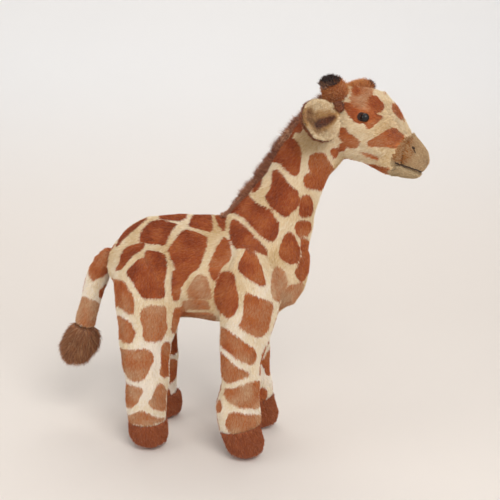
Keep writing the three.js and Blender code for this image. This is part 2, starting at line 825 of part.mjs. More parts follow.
// Horns: a stuffed stem on the crown and a tip of long dark pile
for (const name of sideNames) {
  const lean = hornLeans[name];
  const { point } = surfaceAt(head, lean.rungShare, sideSigns[name] * lean.angle);
  const direction = new THREE.Vector3(...lean.along);
  const form = {
    at: new THREE.Vector3(),
    length: HORN_LENGTH,
    height: HORN_WIDTH,
    width: HORN_WIDTH,
    detail: SMALL,
    matrix: frameAt(point, direction, HORN_FACES),
  };
  const stem = { ...form, shares: hornShares, domeShares: [0.3, 0.3] };
  const tip = { ...form, shares: hornTipShares, domeShares: [0.3, 0.6] };
  piece(`horn_${name}`, facets(cut(softSolid(stem), headAround)), plush(PATCH));
  piece(
    `horn_tip_${name}`,
    facets(cut(softSolid(tip), softSolid(stem, touching), headAround)),
    plush(HORN_DARK),
  );
}

// Muzzle and chin, with the stitched mouth line in a groove between them
const mouthHeight = MOUTH_LINE_SHARE * MUZZLE_HEIGHT;
function mouthPoints() {
  const points = [];
  const at = (x, top, bottom, width, reach) => {
    const [middle, half] = [(top + bottom) / 2, (top - bottom) / 2];
    const across = Math.sqrt(Math.max(0, 1 - ((mouthHeight - middle) / half) ** 2));
    points.push(new THREE.Vector3(x + reach, -width * across, mouthHeight));
  };
  for (const [x, top, , bottom, width] of muzzleShares.slice(1)) {
    at(
      x * SNOUT_LENGTH,
      top * MUZZLE_HEIGHT,
      bottom * MUZZLE_HEIGHT,
      (width * SNOUT_WIDTH) / 2,
      0,
    );
  }
  const [x, top, , bottom, width] = muzzleShares[muzzleShares.length - 1];
  const middle = ((top + bottom) / 2) * MUZZLE_HEIGHT;
  const half = ((top - bottom) / 2) * MUZZLE_HEIGHT;
  const depth = half * muzzle.domeShares[1];
  const lastTurn = Math.acos(Math.abs(mouthHeight - middle) / half);
  for (let i = 1; i <= MOUTH_STEPS; i += 1) {
    const turn = (lastTurn * i) / MOUTH_STEPS;
    const small = Math.cos(turn);
    at(
      x * SNOUT_LENGTH,
      middle + half * small,
      middle - half * small,
      ((width * SNOUT_WIDTH) / 2) * small,
      depth * Math.sin(turn),
    );
  }
  const mirrored = points.slice(0, -1).map((p) => new THREE.Vector3(p.x, -p.y, p.z));
  return [...points, ...mirrored.reverse()];
}
const mouthPath = new THREE.CatmullRomCurve3(mouthPoints());
function threadSolid(radius) {
  const outline = new THREE.Shape();
  for (let i = 0; i < THREAD_SIDES; i += 1) {
    const angle = (2 * Math.PI * i) / THREAD_SIDES;
    outline[i ? 'lineTo' : 'moveTo'](radius * Math.cos(angle), radius * Math.sin(angle));
  }
  outline.closePath();
  const geometry = new THREE.ExtrudeGeometry(outline, {
    steps: 3 * MOUTH_STEPS,
    extrudePath: mouthPath,
  });
  return solid(geometry, snoutFrame);
}
const nostrils = sideNames.map((name) => {
  const { point, out } = surfaceAt(muzzle, NOSTRIL_RUNG_SHARE, sideSigns[name] * NOSTRIL_ANGLE);
  const stitch = (clearance) => {
    const shape = new THREE.SphereGeometry(1, STITCH_SIDES, STITCH_SIDES / 2).scale(
      NOSTRIL_LENGTH / 2 + clearance,
      NOSTRIL_WIDTH / 2 + clearance,
      NOSTRIL_THICKNESS / 2 + clearance,
    );
    return solid(shape, frameAt(point, new THREE.Vector3(1, 0, 1), out));
  };
  return { name, stitch };
});
const groove = threadSolid(MOUTH_THREAD_WIDTH / 2 + GAP);
piece(
  'muzzle',
  facets(cut(softSolid(muzzle), headAround, groove, ...nostrils.map(({ stitch }) => stitch(GAP)))),
  plush(TAN),
);
piece(
  'chin',
  facets(cut(softSolid(chin), headAround, softSolid(muzzle, touching), groove)),
  plush(TAN),
);
piece('mouth_thread', facets(cut(threadSolid(MOUTH_THREAD_WIDTH / 2), headAround)), plush(THREAD));
for (const { name, stitch } of nostrils) {
  piece(`nostril_${name}`, facets(stitch(0)), plush(THREAD));
}

// The origin moves to the floor under the middle of the whole toy
toy.updateMatrixWorld(true);
const box = new THREE.Box3().setFromObject(toy, true);
toy.position.x -= (box.min.x + box.max.x) / 2;
toy.position.y -= (box.min.y + box.max.y) / 2;
toy.position.z -= box.min.z;
toy.updateMatrixWorld(true);

export default toy;
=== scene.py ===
"""Plush giraffe: its looks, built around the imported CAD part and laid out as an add-on."""

import math

import bpy
import numpy as np
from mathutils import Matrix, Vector, noise
from mathutils.bvhtree import BVHTree


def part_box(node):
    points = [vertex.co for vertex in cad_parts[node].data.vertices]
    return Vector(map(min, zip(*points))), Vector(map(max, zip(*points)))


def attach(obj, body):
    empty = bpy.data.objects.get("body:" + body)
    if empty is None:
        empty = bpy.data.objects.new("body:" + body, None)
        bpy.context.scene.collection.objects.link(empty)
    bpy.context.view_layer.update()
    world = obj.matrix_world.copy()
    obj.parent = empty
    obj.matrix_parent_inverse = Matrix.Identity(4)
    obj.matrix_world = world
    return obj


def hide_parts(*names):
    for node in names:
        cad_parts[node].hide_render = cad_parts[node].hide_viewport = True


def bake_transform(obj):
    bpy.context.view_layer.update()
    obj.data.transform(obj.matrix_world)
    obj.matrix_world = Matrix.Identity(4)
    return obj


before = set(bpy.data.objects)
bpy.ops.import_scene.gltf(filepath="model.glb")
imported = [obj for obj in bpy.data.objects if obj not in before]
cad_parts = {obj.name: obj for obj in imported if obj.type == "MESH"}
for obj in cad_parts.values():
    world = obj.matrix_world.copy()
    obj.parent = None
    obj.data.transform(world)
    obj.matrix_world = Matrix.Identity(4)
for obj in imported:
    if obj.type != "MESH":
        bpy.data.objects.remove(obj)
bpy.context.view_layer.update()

bl_info = {
    "name": "Plush Giraffe",
    "version": (1, 0, 0),
    "blender": (4, 5, 0),
    "location": "View3D > Sidebar > Plush Giraffe",
    "description": "Dresses the giraffe's CAD part in sewn plush, pile, felt and thread",
    "category": "Object",
}

MM = 0.001
SIDES = ("right", "left")
OUTWARD = {"right": -1, "left": 1}

# The photograph's camera, in millimetres and pixels.
IMAGE_SIDE = 500
AZIMUTH, ELEVATION = math.radians(14), math.radians(14)
CAMERA_DISTANCE = 1000.0
FOCAL_PIXELS = 934.58
AIM = np.array((19.7, 0.0, 221.0))
BACKWARD = np.array(
    (
        math.sin(AZIMUTH) * math.cos(ELEVATION), -math.cos(AZIMUTH) * math.cos(ELEVATION),
        math.sin(ELEVATION),
    )
)
RIGHTWARD = np.array((math.cos(AZIMUTH), math.sin(AZIMUTH), 0.0))
UPWARD = np.cross(BACKWARD, RIGHTWARD)

BODY_COVERS = (
    "torso_cover", "neck_cover", "head_cover", "leg_cover_fore_right", "leg_cover_fore_left",
    "leg_cover_hind_right", "leg_cover_hind_left",
)
LEG_LABELS = (3, 4, 5, 6)
# How far each left leg is stepped from its right twin at the hoof, in mm.
LEFT_STEP = {4: -2.0, 6: -10.0}
LEG_TOP, LEG_BOTTOM = 230.0, 30.0

# Brown patches as seen in the photograph, with painted shade under the jaw's seam and beside the
# ear laid as patches too:
# Tone 0 is dark rust, 0.25 the usual rust, 0.5 orange-brown, 1 pale tan.
PATCHES = {
    "rump_back": (0.2, [
        (140.5, 241.5), (140.5, 237), (144.5, 229), (149, 224.5), (153, 222), (161, 220.5),
        (178.5, 224.5), (171.5, 232), (169, 239), (165.5, 245.5), (159.5, 244), (150, 243.3)]),
    "rump_band": (0.25, [
        (146, 244.5), (140, 243.5), (131.5, 245.5), (126, 248), (121.5, 256), (119.5, 264),
        (116, 270.5), (122, 268.5), (133, 256.5), (140, 252), (145, 247)]),
    "rump_top": (0.15, [
        (104, 243), (128, 220), (140, 211), (150, 211), (150, 216), (146, 221.5), (132, 232.5),
        (125, 239), (119, 246)]),
    "haunch_main": (0.25, [
        (147.8, 250), (154, 251.5), (160.5, 252), (165.5, 254.5), (167.5, 260.5), (167, 269.5),
        (164.5, 283), (165.5, 291.5), (163.5, 297.5), (146, 298), (142, 296.5), (133.5, 281.5),
        (129, 276), (127, 272), (128.5, 269), (138.5, 259.5), (144.5, 258)]),
    "flank": (0.3, [
        (168.5, 249.5), (181.5, 232.8), (187, 230), (193, 231), (208.3, 237.2), (206.5, 249.5),
        (199, 268.3), (190, 274), (188, 278.5), (185, 281.5), (182.5, 287), (179, 280),
        (176, 267)]),
    "flank_strip": (0.35, [
        (173.5, 271), (178, 269.5), (181, 280), (181.5, 292), (180, 299), (173, 299.5),
        (172.5, 285)]),
    "back_1": (0.2, [(160, 219), (163, 206), (178, 202), (187, 206), (188, 218.5), (181, 222)]),
    "back_2": (0.2, [
        (190, 224), (197, 212), (203, 204), (210, 204), (213.7, 227), (212.8, 232.2),
        (194, 227.8), (190, 226)]),
    "belly_side": (0.85, [
        (188, 290), (192, 282), (197, 275.5), (202, 274), (207, 277), (210, 285), (212, 298),
        (189, 298)]),
    "belly_gusset": (0.75, [(183, 300), (208, 300), (211, 308), (209, 309), (183, 308.5)]),
    "belly_bottom": (0.7, [(183, 311.5), (212, 312), (218, 317), (210, 325), (183, 325)]),
    "thigh_rear": (0.55, [
        (104, 280), (114, 278.6), (120, 279), (125, 281.5), (128, 287.5), (132.3, 293.6),
        (134.5, 300), (134.5, 309), (133, 313.5), (129.5, 312.7), (119.5, 305.5), (112, 303.6),
        (104, 300)]),
    "thigh_centre": (0.62, [
        (142, 309), (145.5, 306.5), (151, 304.5), (165, 305.5), (166, 310), (166, 318),
        (167.5, 327), (165, 333), (161, 339.5), (155, 341), (146, 340.5), (143.5, 338),
        (143.5, 325), (141, 319), (140.7, 313)]),
    "thigh_rear_low": (0.65, [
        (108, 318), (117, 314), (122, 316), (131.5, 322), (133, 327), (136.5, 331), (132.5, 341),
        (129, 343), (124, 341), (121, 338), (108, 335)]),
    "thigh_front": (0.55, [
        (174, 308), (178, 306.5), (183, 306), (187, 312), (184, 319), (176, 331), (172.5, 332),
        (171, 328)]),
    "front_strip": (0.5, [
        (163, 343), (166, 340.5), (169, 341.5), (171, 347), (172, 355), (171.5, 367), (169, 373),
        (164, 377), (161, 375), (159, 371.5), (161, 367), (161, 348)]),
    "knee": (0.7, [
        (110, 347), (121, 347), (126, 349), (134, 349.5), (141, 348), (146, 348.5), (151, 350.5),
        (153.5, 355), (153.5, 361), (150, 366), (148.5, 371), (145, 377), (139, 381), (133, 380),
        (129, 377), (126, 371), (120, 364), (110, 360)]),
    "lower_rear": (0.7, [
        (118, 383), (128.5, 383), (134, 385.5), (140, 387), (143.5, 389.5), (143, 392.5),
        (140, 394.5), (139.5, 399), (137, 403), (132, 406.5), (118, 406)]),
    "lower_front": (0.65, [
        (157, 384.5), (160, 382.5), (163, 384), (166, 390), (167.5, 405), (167, 409),
        (160, 409.5), (153, 408), (149.5, 404.5), (148.5, 401.5), (151.5, 397.5)]),
    "ankle": (0.7, [
        (128, 415), (141, 410), (147, 412), (152, 415.5), (158, 417), (165, 416.5), (163, 419.5),
        (150, 424.5), (142, 424.5), (135, 423), (129, 420)]),
    "upper_arm_rear": (0.35, [
        (222, 272), (228, 270.5), (233, 272), (235.5, 277), (235.5, 282), (239, 298), (238, 306),
        (235.5, 312), (232, 316), (229, 317), (224.5, 314), (218, 308), (215, 300), (215, 291),
        (217, 283)]),
    "upper_arm_front": (0.62, [
        (245.5, 291.5), (261.5, 298.2), (271.8, 301.5), (273, 306), (268, 328.5), (264, 334),
        (259.5, 336.5), (254, 335), (243, 328.5), (239.5, 325.5), (238.5, 323.5), (241.5, 321.5),
        (243.2, 316)]),
    "fore_knee": (0.6, [
        (213, 338), (215, 327), (224, 327), (229, 329.5), (243, 340.5), (254, 348), (256.5, 353),
        (256, 358), (253.5, 362.5), (250, 364), (243, 361.5), (236, 357), (224.5, 347.5),
        (218.5, 341)]),
    "shin_rear": (0.65, [
        (212, 352), (221, 350), (225, 355), (236, 365.5), (248, 371.5), (250, 373.5), (247, 376),
        (229.5, 382.5), (226, 380), (222, 375), (212, 375)]),
    "shin": (0.78, [
        (226, 387.5), (233, 388), (254, 380.5), (261, 380), (263, 384), (260, 405), (255, 408),
        (239, 406.5), (232, 403.5), (227.5, 399), (225, 394)]),
    "fetlock": (0.72, [
        (229, 413), (233, 411.5), (248, 414), (256, 413.5), (261, 414.5), (265.5, 417.5),
        (264, 421.5), (241, 433), (234, 434), (229.5, 431), (225.5, 424)]),
    "fore_heel": (0.6, [
        (209, 398), (217, 397), (221, 399), (223, 405), (221.5, 411), (218.5, 411.5),
        (209, 410)]),
    "fore_front": (0.5, [
        (262, 352), (265, 347), (270, 348), (274, 358), (272, 366), (265, 375), (260.5, 377),
        (258.5, 373)]),
    "neck_base": (0.2, [
        (240, 190), (247, 188), (252, 197.5), (257.5, 203), (271.5, 210), (274.5, 216.5),
        (279, 221.5), (279, 227.5), (277.5, 235), (274.5, 240.5), (270, 240.5), (264, 237.5),
        (244, 216.5), (231.5, 209.5), (233, 203)]),
    "shoulder_upper": (0.3, [
        (232, 221.5), (235, 219), (240, 221.5), (245, 225.5), (262.5, 244), (267.5, 250.5),
        (268, 254), (265, 254.5), (250, 248), (237.5, 248), (234, 244), (231.5, 237.5),
        (230.5, 231.5)]),
    "shoulder_centre": (0.4, [
        (245.5, 250), (250, 249), (255, 252.5), (261.5, 266.5), (265.5, 282.5), (264.5, 285),
        (260, 284.5), (247.5, 277.5), (241.5, 272.5), (239, 267.5), (239.5, 262.5),
        (242.5, 257.5)]),
    "behind_shoulder": (0.45, [
        (225, 236.5), (229, 240.5), (232.5, 255), (230, 260), (225, 264), (220.5, 269),
        (215, 281.5), (212.5, 279), (210, 270), (210.5, 262.5), (218, 246.5)]),
    "withers": (0.25, [
        (216, 216.5), (217, 207), (220, 200), (229, 200), (226, 230), (224, 231.5),
        (218, 221.5)]),
    "chest": (0.35, [
        (287, 232), (290.5, 231), (294, 235), (299.5, 247.5), (299.5, 255), (298, 261.5),
        (292.5, 264), (286.5, 262), (281.5, 257.5), (279, 254), (280.5, 245), (284, 236.5)]),
    "chest_strip": (0.45, [
        (300.5, 238), (307, 238), (317, 255), (314, 264), (308, 274), (301, 281), (295.5, 275),
        (294.5, 271), (298, 265.5), (301.5, 256)]),
    "chest_low_rear": (0.85, [
        (271.5, 273), (276, 265.5), (282, 268), (287, 275), (288, 283), (284, 290), (283, 297),
        (279, 301), (273, 298), (270.5, 290)]),
    "chest_low_front": (0.85, [
        (286, 290), (290, 284.5), (305, 281), (303, 290), (298, 299), (289, 307), (282, 312),
        (279, 307), (283, 300)]),
    "neck_front_small": (0.4, [
        (297, 221), (302, 219), (310, 221), (311, 228), (307, 234), (299, 236), (296, 232),
        (295, 226)]),
    "neck_mid": (0.22, [
        (274.5, 169.5), (279, 169.5), (283, 174), (287.5, 181.5), (292.5, 186.5), (297.5, 190),
        (299.5, 196.5), (300, 201.5), (295, 209), (286.5, 216.5), (281.5, 214.5), (275, 209),
        (269, 202.5), (265.5, 197), (271.5, 188), (273, 180), (273, 174)]),
    "neck_upper_rear": (0.25, [
        (280, 140), (291, 138), (296.5, 140), (300, 145), (302, 152.5), (300, 170),
        (297.5, 175.5), (292.5, 175), (280, 162), (272, 160)]),
    "nape": (0.25, [
        (246, 192), (250, 190.5), (256.5, 192), (262, 185.5), (263.8, 177), (270, 168),
        (266, 162), (246, 182)]),
    # Partly the nape's brown, and at its upper corner by the ear, painted shadow under the ear.
    "nape_and_ear_shadow": (0.2, [
        (284, 141), (291, 139), (294.5, 136.5), (294, 133.5), (297, 131.5), (301, 132.5),
        (304, 128), (303, 118), (296, 118), (284, 132)]),
    "neck_front": (0.48, [
        (310.5, 154), (317.5, 152), (325, 153), (334, 168), (333, 175), (328, 184), (323, 189),
        (310, 188), (305, 185), (303.5, 180), (305, 174), (310, 173), (312, 174), (308.5, 164)]),
    "neck_front_low": (0.35, [
        (305, 194), (310, 195), (312.5, 201.5), (312.5, 209), (310, 215), (302.5, 216),
        (299, 214), (301.5, 196.5)]),
    "throat_rear": (0.45, [
        (331, 148), (336, 146.5), (339, 150), (338, 156), (334, 157), (331.5, 153)]),
    "under_ear": (0.45, [(340, 144), (344, 143), (347, 147), (346, 151), (341, 150)]),
    "cheek": (0.55, [
        (367, 143), (370, 140), (375, 138), (389, 129), (393, 128), (396.5, 128.5), (402, 134.5),
        (405, 136), (403, 141), (400, 144), (398, 148), (394, 148), (388, 146.5), (370, 146.5)]),
    "rear_cheek": (0.42, [
        (342, 126), (345, 127), (350, 133), (360.5, 140), (361, 144), (358, 147), (352, 148),
        (347, 145), (341, 138), (340, 130)]),
    "around_eye": (0.35, [
        (345, 102), (350, 102.5), (353, 107), (358, 109), (370, 111.5), (374, 114), (385, 117),
        (380, 120), (371, 128), (368, 129), (365, 123), (358, 123.5), (353, 119.5), (344, 108)]),
    "brow_front": (0.42, [
        (370, 98), (373, 96.5), (378, 97), (383.5, 104), (384.5, 107), (383.5, 110),
        (380, 112.5), (376, 113.5), (372, 112), (368.5, 103)]),
    "forehead": (0.8, [
        (353.5, 89), (360, 86), (370, 87), (375, 91), (368, 102), (368, 110), (358, 108.5),
        (353, 104), (351, 99), (353, 94)]),
    "forehead_far": (0.45, [
        (392, 106), (394.5, 104.5), (398, 104), (406, 113), (414, 125), (411, 128), (396, 115.5),
        (393, 111)]),
    "forehead_top": (0.5, [(384, 94.5), (388, 92), (393, 95), (394.5, 100), (389, 97.5)]),
    "jaw": (0.5, [
        (370, 164), (376, 164.5), (386, 167.5), (388.5, 165.5), (392, 174), (388, 177),
        (383, 175.5), (372, 168)]),
    "brow_gap": (0.6, [(365, 104), (370, 106), (373, 111), (371, 114), (366, 112)]),
    "horn_base": (0.5, [
        (317, 100), (320, 88), (333, 84), (344, 84.5), (345, 90), (343, 97), (340, 103),
        (335, 104), (326, 101)]),
    "behind_ear": (0.3, [
        (306, 108), (315, 105), (326, 106), (333, 112), (331, 122), (324, 132), (312, 132),
        (306, 122)]),
    # Painted shade: a thin dark strip under the jaw's seam, laid as a patch.
    "jaw_seam_painted_shade": (0.55, [
        (361, 151.5), (366, 152), (382, 158), (380, 159.5), (374, 158.5), (362, 153)]),
}
# Where the muzzle's and the chin's plush lie over the head, in the same pixels.
SNOUT_AREAS = {
    "muzzle": [
        (413, 135.5), (406, 135.8), (403, 140), (398.5, 142.8), (390, 158.4), (395.8, 163.4),
        (399.6, 165.5), (416, 170), (422.6, 173.6), (440, 174), (440, 130)],
    "chin": [
        (390, 158.8), (399.6, 165.5), (416, 170), (422.6, 173.6), (430, 180), (405, 185),
        (391.5, 178), (391.5, 171), (389.5, 165)],
}
TAIL_PATCHES = {
    "tail_root": (0.5, [
        (105, 245), (110, 243), (114, 250), (113, 262), (108, 271), (104, 275), (93, 280),
        (89.5, 274), (90, 264), (93, 257)]),
    "tail_under": (0.45, [
        (100, 289), (105, 284), (112, 280), (115, 284), (109, 290), (105, 297), (99, 296)]),
    "tail_low": (0.85, [
        (80, 295), (88, 297), (93, 300), (98, 301), (100.5, 310), (99, 320), (96, 327),
        (86, 326.5), (73.5, 319), (78, 299)]),
}
# Spots of another tone inside the patches.
TONE_SPOTS = {
    "forehead_spot": (0.3, [(355, 89), (361, 89), (363, 93), (358, 96), (354, 93)]),
    "cheek_upper": (0.4, [(384, 133), (392, 129), (397, 130), (397, 136), (388, 138)]),
    "cheek_lower": (0.55, [
        (380, 146), (390, 148), (399, 148), (403, 140), (394, 140), (384, 143)]),
    "under_eye": (0.52, [(364, 123), (379, 117), (381, 120), (372, 129), (366, 129)]),
    "neck_front_upper": (0.52, [(309, 153), (325, 152), (326, 166), (312, 170), (307, 162)]),
    "neck_front_lower": (0.4, [(304, 176), (318, 172), (326, 176), (322, 190), (306, 188)]),
}
# Tones of the ear's lining: 0 rust, 0.2 the fold's painted shade, 0.6 golden, 1 cream.
EAR_TONES = {
    # The hollow's golden tone and the fold's dark one are painted shade in the cupped lining.
    "hollow_painted_shade": (0.58, [
        (311, 114), (318, 110.5), (330, 110.5), (337, 114), (336, 121), (331, 127), (325, 131.5),
        (316, 132), (311, 128), (309, 121)]),
    "left_edge": (0.5, [
        (300, 114), (304, 109), (311, 107), (314, 112), (308, 126), (307, 132), (301, 129),
        (299, 121)]),
    "fold_painted_shade": (0.12, [
        (314.5, 123.5), (319, 119.5), (335, 114.5), (337, 117), (333, 121), (327, 125),
        (321, 127.5), (315.5, 127)]),
    "top_spot": (0.0, [(335.5, 105), (341, 106), (343, 112), (339.5, 114), (336.5, 110)]),
}
MUZZLE_PATCHES = {
    "smudge": (0.0, [
        (387, 152), (396, 139), (406, 134), (413, 140), (414, 151), (411, 160), (404, 165),
        (386, 159)]),
}
# How the photograph's horns differ from plain cones: a stretch and a move in mm, for the
# stem and then for the tip.
HORN_SHAPES = {
    "right": ((1.3, 1.1, 1.0), (2.6, 0, 0), (1.2, 1.15, 0.95), (0.6, 0, -1.0)),
    "left": ((1.14, 1.1, 0.75), (0.4, 0, -2.4), (0.55, 0.6, 0.55), (1.6, 0, -2.6)),
}
MOUTH_LINE = [
    (390.5, 158.6), (392.3, 160.3), (395.8, 163.4), (399.6, 165.5), (408, 167.6), (416, 170),
    (420, 172), (422.6, 173.6)]
# Sewn seams and pressed-in folds: depth and half-width in mm, then their line in pixels.
SEAMS = {
    "thigh_arch": (1.6, 3.0, [
        (118, 275), (124, 262), (133, 253), (143, 247.5), (152, 247.5), (160, 250), (166, 256),
        (169.5, 265), (172, 300)]),
    "haunch_dart": (2.2, 2.4, [(144, 246), (148.5, 262)]),
    "shoulder_crease": (2.4, 3.2, [
        (231, 238), (234, 249), (232, 259), (226, 268), (220, 280), (217, 292), (216, 302)]),
    "shoulder_dart": (1.6, 2.2, [(247, 246.5), (251, 250), (256, 252)]),
    "gusset_seam": (1.6, 2.4, [(180, 298.5), (214, 298.5)]),
    "neck_seam": (1.0, 2.4, [(229, 210), (241, 219), (264, 247), (271, 262), (272, 280)]),
    "jaw_seam": (1.0, 2.0, [(347, 130), (356, 141), (368, 151), (382, 157), (391, 158)]),
}

# A horn's root reaches down into the head: how far, and over which height, in mm.
HORN_ROOT, HORN_ROOT_SPAN = 4.0, 7
# How long the hair of each horn's tip is, against the pile's set length.
TIP_HAIR = {"right": 1.0, "left": 0.67}
# Each nostril's stitches: points from the middle of the CAD's own, and a width, in mm.
NOSTRIL_STITCHES = (
    ("knot", ((-2.9, 0.2, 4.6), (-1.9, 0.0, 3.8)), 2.4),
    ("line", ((-2.1, 0.0, 3.7), (-1.4, 0.0, 1.6), (-1.1, 0.2, -0.6)), 0.8),
)
# The studio's lamps: place in mm, power in watts and width in metres.
LAMPS = (
    ("key", (900, -1300, 1500), 26.0, 1.0),
    ("fill", (-1500, -900, 700), 7.0, 1.4),
    ("back", (-300, 900, 1500), 7.0, 1.2),
)

# The floor's half width, and the curve in which it rises to the backdrop, in mm.
FLOOR_REACH, WALL_TOP = 6000.0, 5000.0
RISE_START, RISE_RADIUS = 450, 700

# How the pattern is laid on the plush, in mm but for shares and numbers.
HORIZON = (0.08, 0.3)  # facing shares between which the photograph's pattern fades out
MIDDLE_BAND = 3.0  # how far past the middle a side's pattern still reaches
LEG_APART = 15.0  # added between two legs, so that no patch jumps across
WARP_SIZE, WARP_REACH = 14.0, 3.5  # the waves of a hidden patch's outline
SPOT_CELL = 4.0  # one known spot is kept in each cell this wide
SEED_CLEAR, SEED_APART = 17.0, 27.0  # a new patch's distance from known ones and from new ones
SEED_RADII, SEED_TONES = (7.5, 11.0), (0.3, 0.5)
LEFT_IDS, SEED_IDS = 100, 1000  # first numbers of the left side's patches and of the new ones
# How far a hidden patch reaches from the spots that are known of it, how far a new one
# reaches past its own radius, and what its edge takes off either.
PATCH_REACH, NEW_REACH, PATCH_EDGE = 10.0, 1.0, 3.0
PATCH_GROWTH, PATCH_DEPTH = 0.4, 8.0  # added to each patch, and the most that is kept
OUTSIDE = -30.0  # stands for far away from any patch
PATCH_MARGIN = 20  # pixels round a patch in which it is looked up
TONE_DRIFT = 0.3  # how much the tone changes from place to place
RAY_START, RAY_LENGTH = 1.5, 400.0  # a ray to the camera starts off the skin, ends past the toy
SPOTS_AT_ONCE, ROWS_AT_ONCE = 100, 400  # which keeps the tables of distances small


def linear(code):
    """An sRGB hex colour as linear red, green, blue and alpha."""
    parts = [int(code[i : i + 2], 16) / 255 for i in (1, 3, 5)]
    return (*(p / 12.92 if p <= 0.04045 else ((p + 0.055) / 1.055) ** 2.4 for p in parts), 1.0)


def add(tree, kind, inputs=(), out=0, **settings):
    """Adds a node with its settings, and a value or a link for each input.

    Returns one of its outputs, or the node where out is None.
    """
    made = tree.nodes.new(kind)
    for key, value in settings.items():
        setattr(made, key, value)
    for key, value in inputs.items() if isinstance(inputs, dict) else enumerate(inputs):
        if isinstance(value, bpy.types.NodeSocket):
            tree.links.new(value, made.inputs[key])
        else:
            made.inputs[key].default_value = value
    return made if out is None else made.outputs[out]


def unit(vectors):
    """The same directions with length 1."""
    return vectors / np.maximum(np.linalg.norm(vectors, axis=-1, keepdims=True), 1e-9)


class Failed(RuntimeError):
    """Raised where a piece can't be made: a cancelled operator doesn't stop the script."""


def smoothstep(x, low, high):
    t = np.clip((x - low) / (high - low), 0, 1)
    return t * t * (3 - 2 * t)


# Meshes, in mm


class Form:
    """A mesh in millimetres: corners, faces and, for each named field, a value per corner.

    A face has four corners. A triangle repeats its last.
    """

    def __init__(self, points, faces):
        self.points = np.asarray(points, float)
        self.faces = np.asarray(faces, np.int64).reshape(-1, 4)
        self.fields = {}

    def normals(self):
        a, b, c, d = (self.points[self.faces[:, i]] for i in range(4))
        across = np.cross(c - a, d - b)
        thin = self.faces[:, 2] == self.faces[:, 3]
        across[thin] = np.cross(b[thin] - a[thin], c[thin] - a[thin])
        total = np.zeros_like(self.points)
        for i in range(4):
            for k in range(3):
                total[:, k] += np.bincount(self.faces[:, i], across[:, k], len(self.points))
        return unit(total)

    def noise(self, size):
        """A soft noise at each corner, in clouds about that many mm wide."""
        return np.array([noise.noise(Vector(p) / size) for p in self.points.tolist()])

    def push(self, depth):
        """Moves the corners outwards, by one depth or by one for each."""
        self.points = self.points + self.normals() * np.reshape(depth, (-1, 1))

    def edges(self):
        pairs = np.concatenate([self.faces[:, [i, (i + 1) % 4]] for i in range(4)])
        pairs = pairs[pairs[:, 0] != pairs[:, 1]]
        return np.unique(np.sort(pairs, axis=1), axis=0)

    def spread(self, values, share, times):
        """Values drawn towards their neighbours' mean, that many times."""
        edges = self.edges()
        start, end = edges.T
        count = np.bincount(edges.ravel(), minlength=len(self.points)).clip(1)
        values = np.array(values, float)
        flat = values.reshape(len(values), -1)
        for turn in range(times):
            sums = [
                np.bincount(start, column[end], len(flat))
                + np.bincount(end, column[start], len(flat))
                for column in flat.T
            ]
            mean = np.stack(sums, axis=1) / count[:, None]
            step = share[turn % len(share)] if isinstance(share, tuple) else share
            flat = flat + (mean - flat) * step
        return flat.reshape(values.shape)

    def soften(self, times):
        """Rounds small corners without shrinking the form."""
        self.points = self.spread(self.points, (0.5, -0.53), 2 * times)

    def tree(self):
        faces = [tuple(f[:3]) if f[2] == f[3] else tuple(f) for f in self.faces.tolist()]
        return BVHTree.FromPolygons([tuple(p) for p in self.points.tolist()], faces)

    def part(self, wanted):
        """The faces that wanted picks, as a form of their own."""
        faces = self.faces[wanted]
        used, back = np.unique(faces, return_inverse=True)
        made = Form(self.points[used], back.reshape(-1, 4))
        made.fields = {word: values[used] for word, values in self.fields.items()}
        return made

    def largest(self):
        """The biggest connected part."""
        mark = np.arange(len(self.points))
        start, end = self.edges().T
        while True:
            low = np.minimum(mark[start], mark[end])
            new = mark.copy()
            np.minimum.at(new, start, low)
            np.minimum.at(new, end, low)
            new = new[new]
            if (new == mark).all():
                break
            mark = new
        kind = mark[self.faces[:, 0]]
        names, counts = np.unique(kind, return_counts=True)
        return self.part(kind == names[counts.argmax()])

    def shell(self, thickness):
        """The open form given a wall inwards, closed round its rim."""
        count = len(self.points)
        normals = self.normals()
        made = Form(np.concatenate([self.points, self.points - normals * thickness]), self.faces)
        inner = self.faces[:, ::-1] + count
        thin = self.faces[:, 2] == self.faces[:, 3]
        inner[thin] = self.faces[thin][:, [0, 2, 1, 1]] + count
        sides = np.concatenate([self.faces[:, [i, (i + 1) % 4]] for i in range(4)])
        sides = sides[sides[:, 0] != sides[:, 1]]
        start, end = sides.T
        # A side that no other face runs along the other way lies on the rim.
        start, end = sides[~np.isin(start * count + end, end * count + start)].T
        rim = np.stack([end, start, start + count, end + count], axis=1)
        made.faces = np.concatenate([self.faces, inner, rim])
        for word, values in self.fields.items():
            made.fields[word] = np.concatenate([values, values])
        return made

    def object(self, name, materials, slots=None):
        """A Blender object of this form, in metres."""
        mesh = bpy.data.meshes.new(name)
        faces = [f[:3] if f[2] == f[3] else f for f in self.faces.tolist()]
        mesh.from_pydata((self.points * MM).tolist(), [], faces)
        for key, values in self.fields.items():
            kind, word = ("FLOAT_VECTOR", "vector") if values.ndim > 1 else ("FLOAT", "value")
            held = mesh.attributes.new(key, kind, "POINT").data
            held.foreach_set(word, values.astype(np.float32).ravel())
        mesh.polygons.foreach_set("use_smooth", [True] * len(faces))
        for material in materials:
            mesh.materials.append(material)
        if slots is not None:
            mesh.polygons.foreach_set("material_index", slots)
        mesh.update()
        made = bpy.data.objects.new(name, mesh)
        bpy.context.scene.collection.objects.link(made)
        return made


def from_mesh(mesh):
    """A form from a Blender mesh of triangles and quads, in metres."""
    points = np.empty(len(mesh.vertices) * 3)
    mesh.vertices.foreach_get("co", points)
    totals = np.empty(len(mesh.polygons), np.int64)
    mesh.polygons.foreach_get("loop_total", totals)
    starts = np.empty(len(mesh.polygons), np.int64)
    mesh.polygons.foreach_get("loop_start", starts)
    corners = np.empty(len(mesh.loops), np.int64)
    mesh.loops.foreach_get("vertex_index", corners)
    last = np.where(totals == 3, 2, 3)
    faces = np.stack([corners[starts + step] for step in (0, 1, 2, last)], axis=1)
    return Form(points.reshape(-1, 3) / MM, faces)


